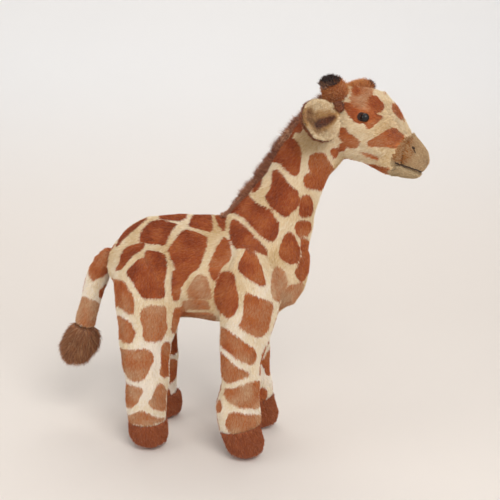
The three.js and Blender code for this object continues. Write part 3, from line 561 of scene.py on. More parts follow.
def cad_form(name):
    """A copy of a CAD node's mesh with its doubled corners merged."""
    form = from_mesh(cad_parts[name].data)
    keys = np.round(form.points / 0.002).astype(np.int64)
    _, first, back = np.unique(keys, axis=0, return_index=True, return_inverse=True)
    merged = Form(form.points[first], back.reshape(-1)[form.faces])
    a, b, c, _ = merged.faces.T
    merged.faces = merged.faces[(a != b) & (b != c) & (a != c)]
    return merged


def joined(forms):
    """One form of several, with each part left as it is."""
    starts = np.cumsum([0] + [len(form.points) for form in forms])
    return Form(
        np.concatenate([form.points for form in forms]),
        np.concatenate([form.faces + start for form, start in zip(forms, starts)]),
    )


def frozen(source):
    """What an object's modifiers make, as a plain mesh."""
    bpy.context.view_layer.update()
    graph = bpy.context.evaluated_depsgraph_get()
    mesh = bpy.data.meshes.new_from_object(source.evaluated_get(graph))
    if not mesh.polygons:
        raise Failed(source.name + " came out without a face")
    return mesh


def remeshed(names, voxel, fatten=0.0):
    """One closed skin round these CAD nodes, in even quads about a voxel wide."""
    forms = [cad_form(name) for name in names]
    for form in forms:
        form.push(fatten)
    source = joined(forms).object("remesh", [])
    change = source.modifiers.new("Remesh", "REMESH")
    change.mode, change.voxel_size, change.adaptivity = "VOXEL", voxel * MM, 0.0
    mesh = frozen(source)
    made = from_mesh(mesh).largest()
    for data in (mesh, source.data):
        bpy.data.meshes.remove(data)
    return made


# The pattern on the plush


def project(points):
    """Points in mm as the photograph's pixels, and mm per pixel at each."""
    away = points - AIM
    depth = CAMERA_DISTANCE - away @ BACKWARD
    across, high = away @ RIGHTWARD, away @ UPWARD
    half = IMAGE_SIDE / 2
    x, y = half + FOCAL_PIXELS * across / depth, half - FOCAL_PIXELS * high / depth
    return np.stack([x, y], axis=1), depth / FOCAL_PIXELS


def line_distance(pixels, line, closed):
    """Each pixel's distance from a line of points and, for a closed one, if it is inside."""
    best = np.full(len(pixels), np.inf)
    inside = np.zeros(len(pixels), bool)
    ends = line[1:] + line[:1] if closed else line[1:]
    for a, b in zip(line, ends):
        a, b = np.array(a, float), np.array(b, float)
        along = b - a
        t = np.clip((pixels - a) @ along / max(along @ along, 1e-9), 0, 1)
        best = np.minimum(best, np.linalg.norm(pixels - a - t[:, None] * along, axis=1))
        if closed and a[1] != b[1]:
            crosses = (a[1] > pixels[:, 1]) != (b[1] > pixels[:, 1])
            at = a[0] + (pixels[:, 1] - a[1]) * (b[0] - a[0]) / (b[1] - a[1])
            inside ^= crosses & (pixels[:, 0] < at)
    return best, inside


def mirrored(points, labels):
    """Points on the left side moved to their twins' places on the right."""
    moved = points * (1, -1, 1)
    for label, step in LEFT_STEP.items():
        mine = labels == label
        share = np.clip((LEG_TOP - points[:, 2]) / (LEG_TOP - LEG_BOTTOM), 0, 1)
        moved[mine, 0] -= step * share[mine]
    return moved


def seen_share(points, normals, tree):
    """From 0 to 1, how squarely the photograph shows each point."""
    eye = AIM + BACKWARD * CAMERA_DISTANCE
    ways = unit(eye - points)
    facing = (ways * normals).sum(1)
    share = smoothstep(facing, *HORIZON)
    for i in np.flatnonzero(share > 0):
        start = points[i] + normals[i] * RAY_START
        if tree.ray_cast(Vector(start), Vector(ways[i]), RAY_LENGTH)[0] is not None:
            share[i] = 0.0
    return share


def photo_patches(pixels, scale, patches):
    """Each pixel's distance inside its nearest patch in mm, its number and its tone."""
    best = np.full(len(pixels), OUTSIDE)
    which = np.full(len(pixels), -1)
    tones = np.zeros(len(pixels))
    for number, (tone, outline) in enumerate(patches.values()):
        corners = np.array(outline, float)
        low, high = corners.min(0) - PATCH_MARGIN, corners.max(0) + PATCH_MARGIN
        rows = np.flatnonzero(((pixels > low) & (pixels < high)).all(1))
        away, inside = line_distance(pixels[rows], outline, True)
        away = np.where(inside, away, -away) * scale[rows]
        nearer = away > best[rows]
        best[rows[nearer]] = away[nearer]
        which[rows[nearer]] = number
        tones[rows[nearer]] = tone
    return best, which, tones


def paint(form, labels, patches, line, seed=3):
    """Gives the form its fields patch, in mm inside a brown patch, and tone.

    What the photograph shows is taken from it, also for the twin places on the left. The
    rest is filled in between: seen patches run on, and new ones take the free places.
    """
    points, normals = form.points, form.normals()
    tree = form.tree()
    near = seen_share(points, normals, tree)
    near[(points[:, 1] > MIDDLE_BAND) & (labels >= LEG_LABELS[0])] = 0
    pixels, scale = project(points)
    field, which, tones = photo_patches(pixels, scale, patches)
    share = near.copy()
    flipped = mirrored(points, labels)
    far = seen_share(flipped, normals * (1, -1, 1), tree)
    far[points[:, 1] < -MIDDLE_BAND] = 0
    use = far > near
    flat, flat_scale = project(flipped)
    left_field, left_which, left_tones = photo_patches(flat, flat_scale, patches)
    field[use], tones[use] = left_field[use], left_tones[use]
    which[use] = left_which[use] + LEFT_IDS
    share[use] = far[use]
    apart = np.zeros((len(points), 4))
    for column, label in enumerate(LEG_LABELS):
        apart[labels == label, column] = LEG_APART
    # The noise's three directions are drawn from a seed, which else is the clock.
    noise.seed_set(seed)
    warp = np.array([noise.noise_vector(Vector(p) / WARP_SIZE) for p in points.tolist()])
    places = np.concatenate([points + warp * WARP_REACH, apart], axis=1)
    known = np.flatnonzero((share > 0.5) & (field > 0))
    cells = np.round(points[known] / SPOT_CELL).astype(int)
    cells = np.concatenate([which[known, None], cells], axis=1)
    _, first = np.unique(cells, axis=0, return_index=True)
    known = known[first]
    spots = places[known].copy()
    spots[:, :3] = points[known]
    ids, reach, spot_tones = which[known], np.zeros(len(known)), tones[known]
    hidden = np.flatnonzero(share < 1)
    gap = np.full(len(hidden), np.inf)
    for some in np.array_split(spots, max(1, len(spots) // SPOTS_AT_ONCE)):
        away = np.sqrt(((places[hidden, None] - some[None]) ** 2).sum(2))
        gap = np.minimum(gap, away.min(1))
    rng = np.random.default_rng(seed)
    order = rng.permutation(len(hidden))
    seeds = []
    for i in order:
        if gap[i] > SEED_CLEAR and share[hidden[i]] <= 0:
            seeds.append(hidden[i])
            away = np.linalg.norm(places[hidden] - places[hidden[i]], axis=1)
            gap = np.minimum(gap, away - (SEED_APART - SEED_CLEAR))
    if seeds:
        spots = np.concatenate([spots, places[seeds]])
        ids = np.concatenate([ids, SEED_IDS + np.arange(len(seeds))])
        reach = np.concatenate([reach, rng.uniform(*SEED_RADII, len(seeds))])
        spot_tones = np.concatenate([spot_tones, rng.uniform(*SEED_TONES, len(seeds))])
    order = np.argsort(ids, kind="stable")
    spots, ids, reach, spot_tones = (x[order] for x in (spots, ids, reach, spot_tones))
    _, starts = np.unique(ids, return_index=True)
    group_tone = spot_tones[starts]
    for rows in np.array_split(hidden, max(1, len(hidden) // ROWS_AT_ONCE)):
        here = places[rows]
        square = (here**2).sum(1)[:, None] + (spots**2).sum(1)[None] - 2 * here @ spots.T
        grouped = np.minimum.reduceat(np.sqrt(np.maximum(square, 0)) - reach, starts, axis=1)
        # A hidden spot belongs to its nearest patch, up to half the line to the next one.
        two = np.partition(grouped, 1, axis=1)[:, :2]
        limit = np.where(two[:, 0] < -1, NEW_REACH, PATCH_REACH)
        own = np.minimum((two[:, 1] - two[:, 0] - line) / 2, limit - two[:, 0] - PATCH_EDGE)
        keep = share[rows]
        tone = group_tone[grouped.argmin(1)]
        field[rows] = field[rows] * keep + own * (1 - keep)
        tones[rows] = tones[rows] * keep + tone * (1 - keep)
    field = np.clip(field + PATCH_GROWTH, -PATCH_DEPTH, PATCH_DEPTH)
    form.fields["patch"] = form.spread(field, share=0.5, times=1)
    tones = form.spread(tones, share=0.5, times=2)
    form.fields["tone"] = tones + TONE_DRIFT * form.noise(16)


def seam_depth(form, labels):
    """How far each corner is pressed in by the seams and folds, in mm."""
    points, normals = form.points, form.normals()
    depth = np.zeros(len(points))
    for flip in (False, True):
        at = mirrored(points, labels) if flip else points
        facing = (normals * (1, -1, 1) if flip else normals) @ BACKWARD
        mine = (facing > 0.1) & ((points[:, 1] > 0) if flip else (points[:, 1] < 0))
        pixels, scale = project(at)
        for deep, wide, line in SEAMS.values():
            away, _ = line_distance(pixels, line, False)
            press = deep * np.exp(-((away * scale / wide) ** 2))
            depth = np.where(mine, np.maximum(depth, press), depth)
    return form.spread(depth, share=0.5, times=1)


# Materials

# The shades of each cloth, pile and fitting. A pile's tone picks among its own.
DYES = {
    "patch": ("Brown patches", "#8A3E1C", "#A8532A", "#BC6E3C", "#C48C62", "#CFA985"),
    "ground": ("Cream ground", "#F6ECDE", "#EEDFC4", "#E4CDA6", "#D4B583"),
    "muzzle_cloth": ("Muzzle cloth", "#A9885F", "#BC9E76"),
    "muzzle": ("Muzzle pile", "#A0652F", "#B8976F", "#CBB08A"),
    "chin_cloth": ("Chin cloth", "#A8916C", "#BBA480"),
    "chin": ("Chin pile", "#A08A64", "#BBA07A", "#CCB692"),
    "hoof_cloth": ("Hoof cloth", "#8A4526", "#9E5634"),
    "hoof": ("Hoof pile", "#8A4322", "#A05632", "#B56F48"),
    "tuft_cloth": ("Tail tuft cloth", "#75482E", "#90603F"),
    "tuft": ("Tail tuft hair", "#7A4E33", "#9A6644", "#B98A62"),
    "mane_cloth": ("Mane cloth", "#6E4432", "#8A5940"),
    "mane": ("Mane hair", "#7E4C38", "#A36C4E", "#C29472"),
    "horn_cloth": ("Horn cloth", "#9A5830", "#B06C3E"),
    "horn": ("Horn pile", "#4A3024", "#A8602F", "#BE7842", "#CF935C"),
    "horn_tip_cloth": ("Horn tip cloth", "#241614", "#3A2420"),
    "horn_tip": ("Horn tip hair", "#2A1B18", "#443029", "#64493C", "#94643F"),
    "ear_back_cloth": ("Ear back cloth", "#6E3A20", "#8A4C2A"),
    "ear_back": ("Ear back pile", "#6A3820", "#84492A", "#9C6038"),
    # The lining's darkest shade is painted shade for its fold, and its golden ones also paint the
    # hollow's shade.
    "ear_lining": (
        "Ear lining", "#8A4A2C", "#563422", "#946440", "#B48C58", "#D0B48C", "#E6D6B6"
    ),
    "eye": ("Eye", "#060404", "#120A07"),
    "eyelid": ("Eyelid", "#2A1812", "#3C241B"),
    "washer": ("Eye washer", "#E2E0D8", "#EAE8E1"),
    "thread": ("Thread", "#2B1D13", "#463122"),
    "wall": ("Backdrop", "#E9E8E7", "#ECEBEA"),
    "floor": ("Floor", "#E6DED6"),
    "pale": ("Far background", "#EFECE7"),
}
# Each pile's tufts per square centimetre, their length and root width in mm, and how
# far they stray from the nap. Real fibres are much finer and more: a tuft stands for a
# bundle of them, as coarse as it has to be to show.
PILES = {
    "patch": (122, 3.4, 0.75, 0.18),
    "muzzle": (220, 2.1, 0.55, 0.15),
    "chin": (220, 2.1, 0.55, 0.15),
    "hoof": (110, 4.2, 0.8, 0.2),
    "tuft": (120, 8.5, 0.95, 0.4),
    "mane": (126, 11.0, 0.95, 0.42),
    "horn": (120, 4.6, 0.8, 0.5),
    "horn_tip": (190, 6.0, 0.75, 0.6),
    "ear_back": (110, 3.6, 0.8, 0.3),
    "ear_lining": (150, 2.6, 0.7, 0.25),
}
# What the pile and stitch trees read from a surface and write to their fibres.
FIELDS = dict.fromkeys(
    ("patch", "tone", "cloud", "grow", "long", "shade", "along"), "FLOAT"
) | dict.fromkeys(("lay", "droop", "upright"), "FLOAT_VECTOR")
DRAWS = (
    ("shade", -0.7, 0.7),
    ("edge", -1.0, 1.0),
    ("pale", -0.7, 0.7),
    ("turn", 0.0, 2 * math.pi),
    ("width", 0.8, 1.2),
    ("length", 0.7, 1.12),
)
CM2 = 1e4  # square centimetres in a square metre


def dyes(key):
    """The shades of one cloth, pile or fitting, as the settings hold them."""
    held = bpy.context.scene.giraffe_colours
    return [tuple(getattr(held, f"{key}_{n}")) for n in range(1, len(DYES[key]))]


def material(name, rough, sheen=0.0, specular=0.5):
    """A new material; returns it, its tree, its shader and its Object coordinates."""
    made = bpy.data.materials.new(name)
    made.use_nodes = True
    tree = made.node_tree
    shader = tree.nodes["Principled BSDF"]
    for key, value in (
        ("Roughness", rough),
        ("Sheen Weight", sheen),
        ("Sheen Roughness", 0.5),
        ("Specular IOR Level", specular),
    ):
        shader.inputs[key].default_value = value
    return made, tree, shader, add(tree, "ShaderNodeTexCoord", out="Object")


def dyed(tree, place, shades, spot_mm, field=""):
    """A colour in soft clouds of these shades.

    With a field, it goes through them as the field goes from 0 to 1, and the clouds only
    stir it.
    """
    cloud = add(tree, "ShaderNodeTexNoise", {"Vector": place, "Scale": 1 / (spot_mm * MM)})
    if field:
        field = add(tree, "ShaderNodeAttribute", out="Fac", attribute_name=field)
        cloud = add(tree, "ShaderNodeMath", (cloud, 0.3, field), operation="MULTIPLY_ADD")
        cloud = add(
            tree, "ShaderNodeMapRange", {"Value": cloud, "From Min": 0.15, "From Max": 1.15}
        )
    ramp = add(tree, "ShaderNodeValToRGB", {"Fac": cloud}, None)
    stops = ramp.color_ramp.elements
    stops[0].color, stops[1].color = shades[0], shades[-1]
    for number, shade in enumerate(shades[1:-1], 1):
        stops.new(number / (len(shades) - 1)).color = shade
    return ramp.outputs["Color"]


def tufted(tree, place, shader, spot_mm, depth_mm, strength):
    """Small tufts of pile, or the grain of a moulding, as bump."""
    height = add(
        tree, "ShaderNodeTexNoise", {"Vector": place, "Scale": 1 / (spot_mm * MM), "Detail": 3.0}
    )
    bump = add(
        tree, "ShaderNodeBump",
        {"Height": height, "Strength": strength, "Distance": depth_mm * MM},
    )
    tree.links.new(bump, shader.inputs["Normal"])


# A plush cloth's tufts as bump: their size and depth in mm, and the bump's strength.
PLUSH_BUMP = (0.9, 0.7, 0.5)


def patched_plush():
    """Sheared polyester plush on a knitted back, printed with brown patches.

    It is dull, with a soft sheen at grazing angles and a ragged edge to each patch.
    """
    made, tree, shader, place = material(
        "sheared polyester plush, printed", rough=0.95, sheen=0.25, specular=0.25
    )
    patch = add(tree, "ShaderNodeAttribute", out="Fac", attribute_name="patch")
    ragged = add(tree, "ShaderNodeTexNoise", {"Vector": place, "Scale": 1 / (1.6 * MM)})
    ragged = add(tree, "ShaderNodeMath", (ragged, 3.0, patch), operation="MULTIPLY_ADD")
    brown = add(
        tree, "ShaderNodeMapRange", {"Value": ragged, "From Min": 0.9, "From Max": 2.1},
        interpolation_type="SMOOTHSTEP",
    )
    cream = dyed(tree, place, dyes("ground"), spot_mm=7.0, field="cloud")
    rust = dyed(tree, place, dyes("patch"), spot_mm=7.0, field="tone")
    colour = add(tree, "ShaderNodeMix", {0: brown, 6: cream, 7: rust}, 2, data_type="RGBA")
    tree.links.new(colour, shader.inputs["Base Color"])
    tufted(tree, place, shader, spot_mm=1.1, depth_mm=0.9, strength=0.5)
    return made


def mottled(
    name, key, spot_mm=5.0, rough=0.95, sheen=0.25, specular=0.25, bump=PLUSH_BUMP, field=""
):
    """A finish in clouds of close shades. As it stands it is dull plush with a soft sheen."""
    made, tree, shader, place = material(name, rough, sheen, specular)
    tree.links.new(dyed(tree, place, dyes(key), spot_mm, field), shader.inputs["Base Color"])
    if bump:
        tufted(tree, place, shader, *bump)
    return made


def fibres(name, shades):
    """One material per shade of dyed fibre, which is dull with a faint sheen.

    A fibre is one colour along its length, so each shade is plain, and the mix of shades
    makes the pile's colour.
    """
    made = []
    for number, shade in enumerate(shades, 1):
        word = f"{name}, shade {number}"
        one, _, shader, _ = material(word, rough=0.9, sheen=0.2, specular=0.25)
        shader.inputs["Base Color"].default_value = shade
        made.append(one)
    return made


# Pile and hair


def node_tree(name, sizes):
    """A new Geometry Nodes tree with these named sizes and a seed; returns it and its inputs."""
    tree = bpy.data.node_groups.new(name, "GeometryNodeTree")
    sockets = [("Geometry", "Geometry"), *((size, "Float") for size in sizes), ("Seed", "Int")]
    for label, kind in sockets:
        tree.interface.new_socket(label, in_out="INPUT", socket_type="NodeSocket" + kind)
    tree.interface.new_socket("Geometry", in_out="OUTPUT", socket_type="NodeSocketGeometry")
    return tree, add(tree, "NodeGroupInput", out=None).outputs


def strand_tree(name, shades, segments, browns):
    """Geometry Nodes that grow tapered fibres out of a surface and give each one of the shades.

    The first shades, as many as browns says, are picked by tone. Where there are more, a
    fibre outside the patches takes one of the rest, by cloud.
    """
    tree, given = node_tree(
        name, ("Fibres per cm2", "Length mm", "Width mm", "Spread", "Ragged edge mm")
    )
    read = {
        word: add(tree, "GeometryNodeInputNamedAttribute", {"Name": word}, data_type=kind)
        for word, kind in FIELDS.items()
    }
    seeds = [add(tree, "ShaderNodeMath", (given["Seed"], 11.0 + n)) for n in range(7)]
    draw = {
        word: add(tree, "FunctionNodeRandomValue", {2: low, 3: high, 8: seed}, 1)
        for (word, low, high), seed in zip(DRAWS, seeds)
    }
    stray = add(
        tree, "FunctionNodeRandomValue", {0: (-1, -1, -1), 1: (1, 1, 1), 8: seeds[-1]},
        data_type="FLOAT_VECTOR",
    )
    dense = add(tree, "ShaderNodeMath", (given["Fibres per cm2"], CM2), operation="MULTIPLY")
    dense = add(tree, "ShaderNodeMath", (dense, read["grow"]), operation="MULTIPLY")
    roots = add(
        tree, "GeometryNodeDistributePointsOnFaces",
        {"Mesh": given["Geometry"], "Density": dense, "Seed": given["Seed"]}, None,
    ).outputs

    def picked(field, chance, first, count):
        """The number of a shade, from the first on, by a field that a draw stirs."""
        spot = (read[field], count - 1.0, draw[chance])
        spot = add(tree, "ShaderNodeMath", spot, operation="MULTIPLY_ADD")
        spot = add(tree, "ShaderNodeMath", (spot,), operation="ROUND")
        spot = add(tree, "ShaderNodeClamp", {"Value": spot, "Max": count - 1.0})
        return add(tree, "ShaderNodeMath", (spot, float(first)))

    shade = picked("tone", "shade", 0, browns)
    if browns < len(shades):
        edge = (given["Ragged edge mm"], draw["edge"], read["patch"])
        edge = add(tree, "ShaderNodeMath", edge, operation="MULTIPLY_ADD")
        ground = add(tree, "ShaderNodeMath", (edge, 0.0), operation="LESS_THAN")
        pale = picked("cloud", "pale", browns, len(shades) - browns)
        either = {"Switch": ground, "False": shade, "True": pale}
        shade = add(tree, "GeometryNodeSwitch", either, input_type="FLOAT")
    upright = add(
        tree, "ShaderNodeVectorMath", (stray, (0.3, 0.3, 0.3), roots["Normal"]),
        operation="MULTIPLY_ADD",
    )
    last = roots["Points"]
    for word, value in (("shade", shade), ("upright", upright)):
        last = add(
            tree, "GeometryNodeStoreNamedAttribute",
            {"Geometry": last, "Name": word, "Value": value}, data_type=FIELDS[word],
        )
    lean = (stray, given["Spread"], read["lay"])
    lean = add(tree, "ShaderNodeVectorMath", lean, operation="MULTIPLY_ADD")
    turn = add(tree, "ShaderNodeCombineXYZ", {"Z": draw["turn"]})
    turn = add(tree, "FunctionNodeEulerToRotation", (turn,))
    aimed = add(
        tree, "FunctionNodeAlignRotationToVector", {"Rotation": turn, "Vector": lean}, axis="Z"
    )
    sizes = []
    for label, scale, chance in (("Width mm", MM / 2, "width"), ("Length mm", MM, "length")):
        size = add(tree, "ShaderNodeMath", (given[label], scale), operation="MULTIPLY")
        sizes.append(add(tree, "ShaderNodeMath", (size, draw[chance]), operation="MULTIPLY"))
    wide = sizes[0]
    tall = add(tree, "ShaderNodeMath", (sizes[1], read["long"]), operation="MULTIPLY")
    cone = {
        "Vertices": 3,
        "Side Segments": segments,
        "Radius Top": 0.0,
        "Radius Bottom": 1.0,
        "Depth": 1.0,
    }
    fibre = add(tree, "GeometryNodeMeshCone", cone)
    height = add(tree, "ShaderNodeSeparateXYZ", (add(tree, "GeometryNodeInputPosition"),), "Z")
    fibre = add(
        tree, "GeometryNodeStoreNamedAttribute",
        {"Geometry": fibre, "Name": "along", "Value": height}, data_type="FLOAT",
    )
    last = add(
        tree, "GeometryNodeInstanceOnPoints",
        {
            "Points": last,
            "Instance": fibre,
            "Rotation": aimed,
            "Scale": add(tree, "ShaderNodeCombineXYZ", (wide, wide, tall)),
        },
    )
    last = add(tree, "GeometryNodeRealizeInstances", (last,))
    bent = add(tree, "ShaderNodeMath", (read["along"], read["along"]), operation="MULTIPLY")
    bent = add(tree, "ShaderNodeVectorMath", {0: read["droop"], "Scale": bent}, operation="SCALE")
    last = add(tree, "GeometryNodeSetPosition", {"Geometry": last, "Offset": bent})
    last = add(
        tree, "GeometryNodeSetMeshNormal", {"Mesh": last, "Custom Normal": read["upright"]},
        mode="FREE", domain="POINT",
    )
    for number, one in enumerate(shades):
        mine = add(
            tree, "FunctionNodeCompare", {0: read["shade"], 1: float(number), 12: 0.4},
            data_type="FLOAT", operation="EQUAL",
        )
        last = add(
            tree, "GeometryNodeSetMaterial",
            {"Geometry": last, "Selection": mine, "Material": one},
        )
    add(tree, "NodeGroupOutput", (last,), None)
    return tree


def evaluated(source, name, tree, values):
    """What the tree makes of the source, as a plain mesh object. The source goes."""
    change = source.modifiers.new("Nodes", "NODES")
    change.node_group = tree
    for item in tree.interface.items_tree:
        if item.name in values:
            change[item.identifier] = values[item.name]
    mesh = frozen(source)
    mesh.name = name
    for word in FIELDS:
        if word in mesh.attributes:
            mesh.attributes.remove(mesh.attributes[word])
    bpy.data.meshes.remove(source.data)
    made = bpy.data.objects.new(name, mesh)
    bpy.context.scene.collection.objects.link(made)
    return made


class Pile:
    """One kind of pile: the tree that grows it, and the sizes that the settings hold."""

    def __init__(self, key, segments=1, ground=""):
        shades = dyes(key)
        label = DYES[key][0]
        rest = dyes(ground) if ground else []
        dyed_fibres = fibres(label.lower() + ", dyed polyester fibre", shades + rest)
        self.key = key
        self.tree = strand_tree(label, dyed_fibres, segments, len(shades))

    def grow(self, name, form, seed, slot, body="toy"):
        """The pile on the form, finished as a piece that rides on the body."""
        count, long, wide, stray = (
            getattr(bpy.context.scene.giraffe_piles, f"{self.key}_{word}")
            for word in ("count", "length", "width", "spread")
        )
        values = {
            "Fibres per cm2": count,
            "Length mm": long / MM,
            "Width mm": wide / MM,
            "Spread": stray,
            "Ragged edge mm": bpy.context.scene.giraffe_sizes.ragged_edge / MM,
            "Seed": seed,
        }
        made = evaluated(form.object(name + "_roots", []), name, self.tree, values)
        return finish(made, body=body) if body else made


def lay_fields(form, nap, raised, droop=0.0, cloud=0.5):
    """Gives the form the fields that its pile reads.

    nap is the way the pile is stroked, one direction or one per corner. raised is its
    angle to the surface in degrees, droop how far its tips hang in mm, and cloud the
    middle of the field that picks the ground's shades.
    """
    normals = form.normals()
    nap = unit(np.broadcast_to(np.asarray(nap, float), form.points.shape))
    flat = nap - normals * (nap * normals).sum(1, keepdims=True)
    flat = unit(flat) * smoothstep(np.linalg.norm(flat, axis=1), 0.02, 0.3)[:, None]
    angle = math.radians(raised)
    form.fields["lay"] = unit(normals * math.sin(angle) + flat * math.cos(angle))
    for word, usual in (("grow", 1.0), ("long", 1.0), ("tone", 0.5)):
        form.fields.setdefault(word, np.full(len(form.points), usual))
    form.fields["cloud"] = 0.5 * form.noise(30) + cloud
    if droop:
        form.fields["droop"] = np.array((0, 0, -droop * MM)) + flat * droop * MM * 0.6


# The pieces

parts = {}  # what one operator makes and a later one reads


def length(name, description, mm):
    """A length in the settings, held in metres."""
    return bpy.props.FloatProperty(
        name=name, description=description, default=mm * MM, min=0.0,
        soft_max=4 * mm * MM, precision=5, subtype="DISTANCE",
    )


def pile_settings():
    held = {}
    for key, (count, long, wide, stray) in PILES.items():
        label = DYES[key][0]
        held[key + "_count"] = bpy.props.FloatProperty(
            name=label + ", tufts", description="Tufts per square centimetre",
            default=count, min=1.0, max=400.0,
        )
        held[key + "_length"] = length(label + ", length", "How long a tuft is", long)
        held[key + "_width"] = length(
            label + ", tuft width", "How wide a tuft is at its root", wide
        )
        held[key + "_spread"] = bpy.props.FloatProperty(
            name=label + ", spread", description="How far the tufts stray from the nap",
            default=stray, min=0.0, max=1.0, subtype="FACTOR",
        )
    return held


def colour_settings():
    return {
        f"{key}_{number}": bpy.props.FloatVectorProperty(
            name=f"{label}, shade {number}",
            description=f"Shade {number} of {len(codes)} of the {label.lower()}",
            default=linear(code), size=4, min=0.0, max=1.0, subtype="COLOR",
        )
        for key, (label, *codes) in DYES.items()
        for number, code in enumerate(codes, 1)
    }


class GIRAFFE_PG_sizes(bpy.types.PropertyGroup):
    """Sizes of the skin and its print"""

    skin_detail: length("Skin detail", "Width of the skin's faces", 2.2)
    pile_depth: length(
        "Pile depth", "How far the knitted back lies under the pile's surface", 1.9
    )
    cream_lines: length("Cream lines", "Width of the lines between patches", 6.5)
    ragged_edge: length("Ragged edge", "How far a patch's edge strays", 0.4)
    eye_radius: length("Eye radius", "Radius of the eyes' domes", 4.3)


class GIRAFFE_PG_piles(bpy.types.PropertyGroup):
    """Sizes of each kind of pile and hair"""

    __annotations__ = pile_settings()


class GIRAFFE_PG_colours(bpy.types.PropertyGroup):
    """Shades of each cloth, pile and fitting"""

    __annotations__ = colour_settings()


def finish(piece, nodes=(), body="toy"):
    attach(piece, body)
    if nodes:
        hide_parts(*nodes)
    return piece


def piled(node, form, cloth, pile, seed, slot="giraffe_plush", body="toy", fields=()):
    """A padded cloth form that stands for its CAD node, and the pile that grows on it."""
    plain = Form(form.points, form.faces)
    plain.fields = {word: form.fields[word] for word in fields}
    finish(plain.object(node + "_cloth", [cloth]), [node], body)
    pile.grow(node + "_pile", form, seed, slot, body)


def middle_of(name):
    """The middle of a CAD node's box, in mm."""
    low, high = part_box(name)
    return np.array((low + high) / 2) / MM


def inside_area(form, outline):
    """How far inside an area of the photograph each corner or its right twin lies, in mm."""
    far = form.points[:, 1:2] > 0
    flip = np.where(far, (1, -1, 1), (1, 1, 1))
    pixels, scale = project(form.points * flip)
    away, inside = line_distance(pixels, outline, True)
    away = np.where(inside, away, -away) * scale
    return np.where((form.normals() * flip) @ BACKWARD > -0.3, away, OUTSIDE)


def near_to(form, node):
    """Each corner's distance from a CAD node's surface, in mm."""
    return nearest(cad_form(node).tree(), form.points)


def nearest(tree, points):
    return np.array([tree.find_nearest(Vector(p))[3] for p in points])


# The body's skin and pile near other pieces. A span in mm runs from where a change starts
# to where it is complete.
SKIN_FATTENED = 0.6
SKIN_FROM_EYE, SKIN_FROM_MUZZLE = (8, 16), (-1, 2)
HAIR_FROM_EYE, HAIR_FROM_EAR, HAIR_FROM_HORN = (7, 16), (2.0, 6.0), (1, 9)
BARE_ROUND_EYE = 0.3
LUMP_WIDTH, LUMP_HEIGHT = 24, 1.3
# How golden the cream of each cover is, from 0 to 1, and what a leg gains with its height.
GOLDEN_SHARES = (0.55, 0.55, 0.62) + (0.1,) * 4
LEG_GOLDEN, LEG_GOLDEN_SPAN = 0.35, (110, 200)
# The way the pile is stroked on torso, neck, head and legs, and round the horns.
STROKES = np.array(
    [(-0.8, 0, -0.6), (-0.5, 0, -0.85), (-0.9, 0, -0.25)] + [(-0.15, 0, -1.0)] * 4
)
HORN_STROKE = np.array((-0.3, 0, 0.9))


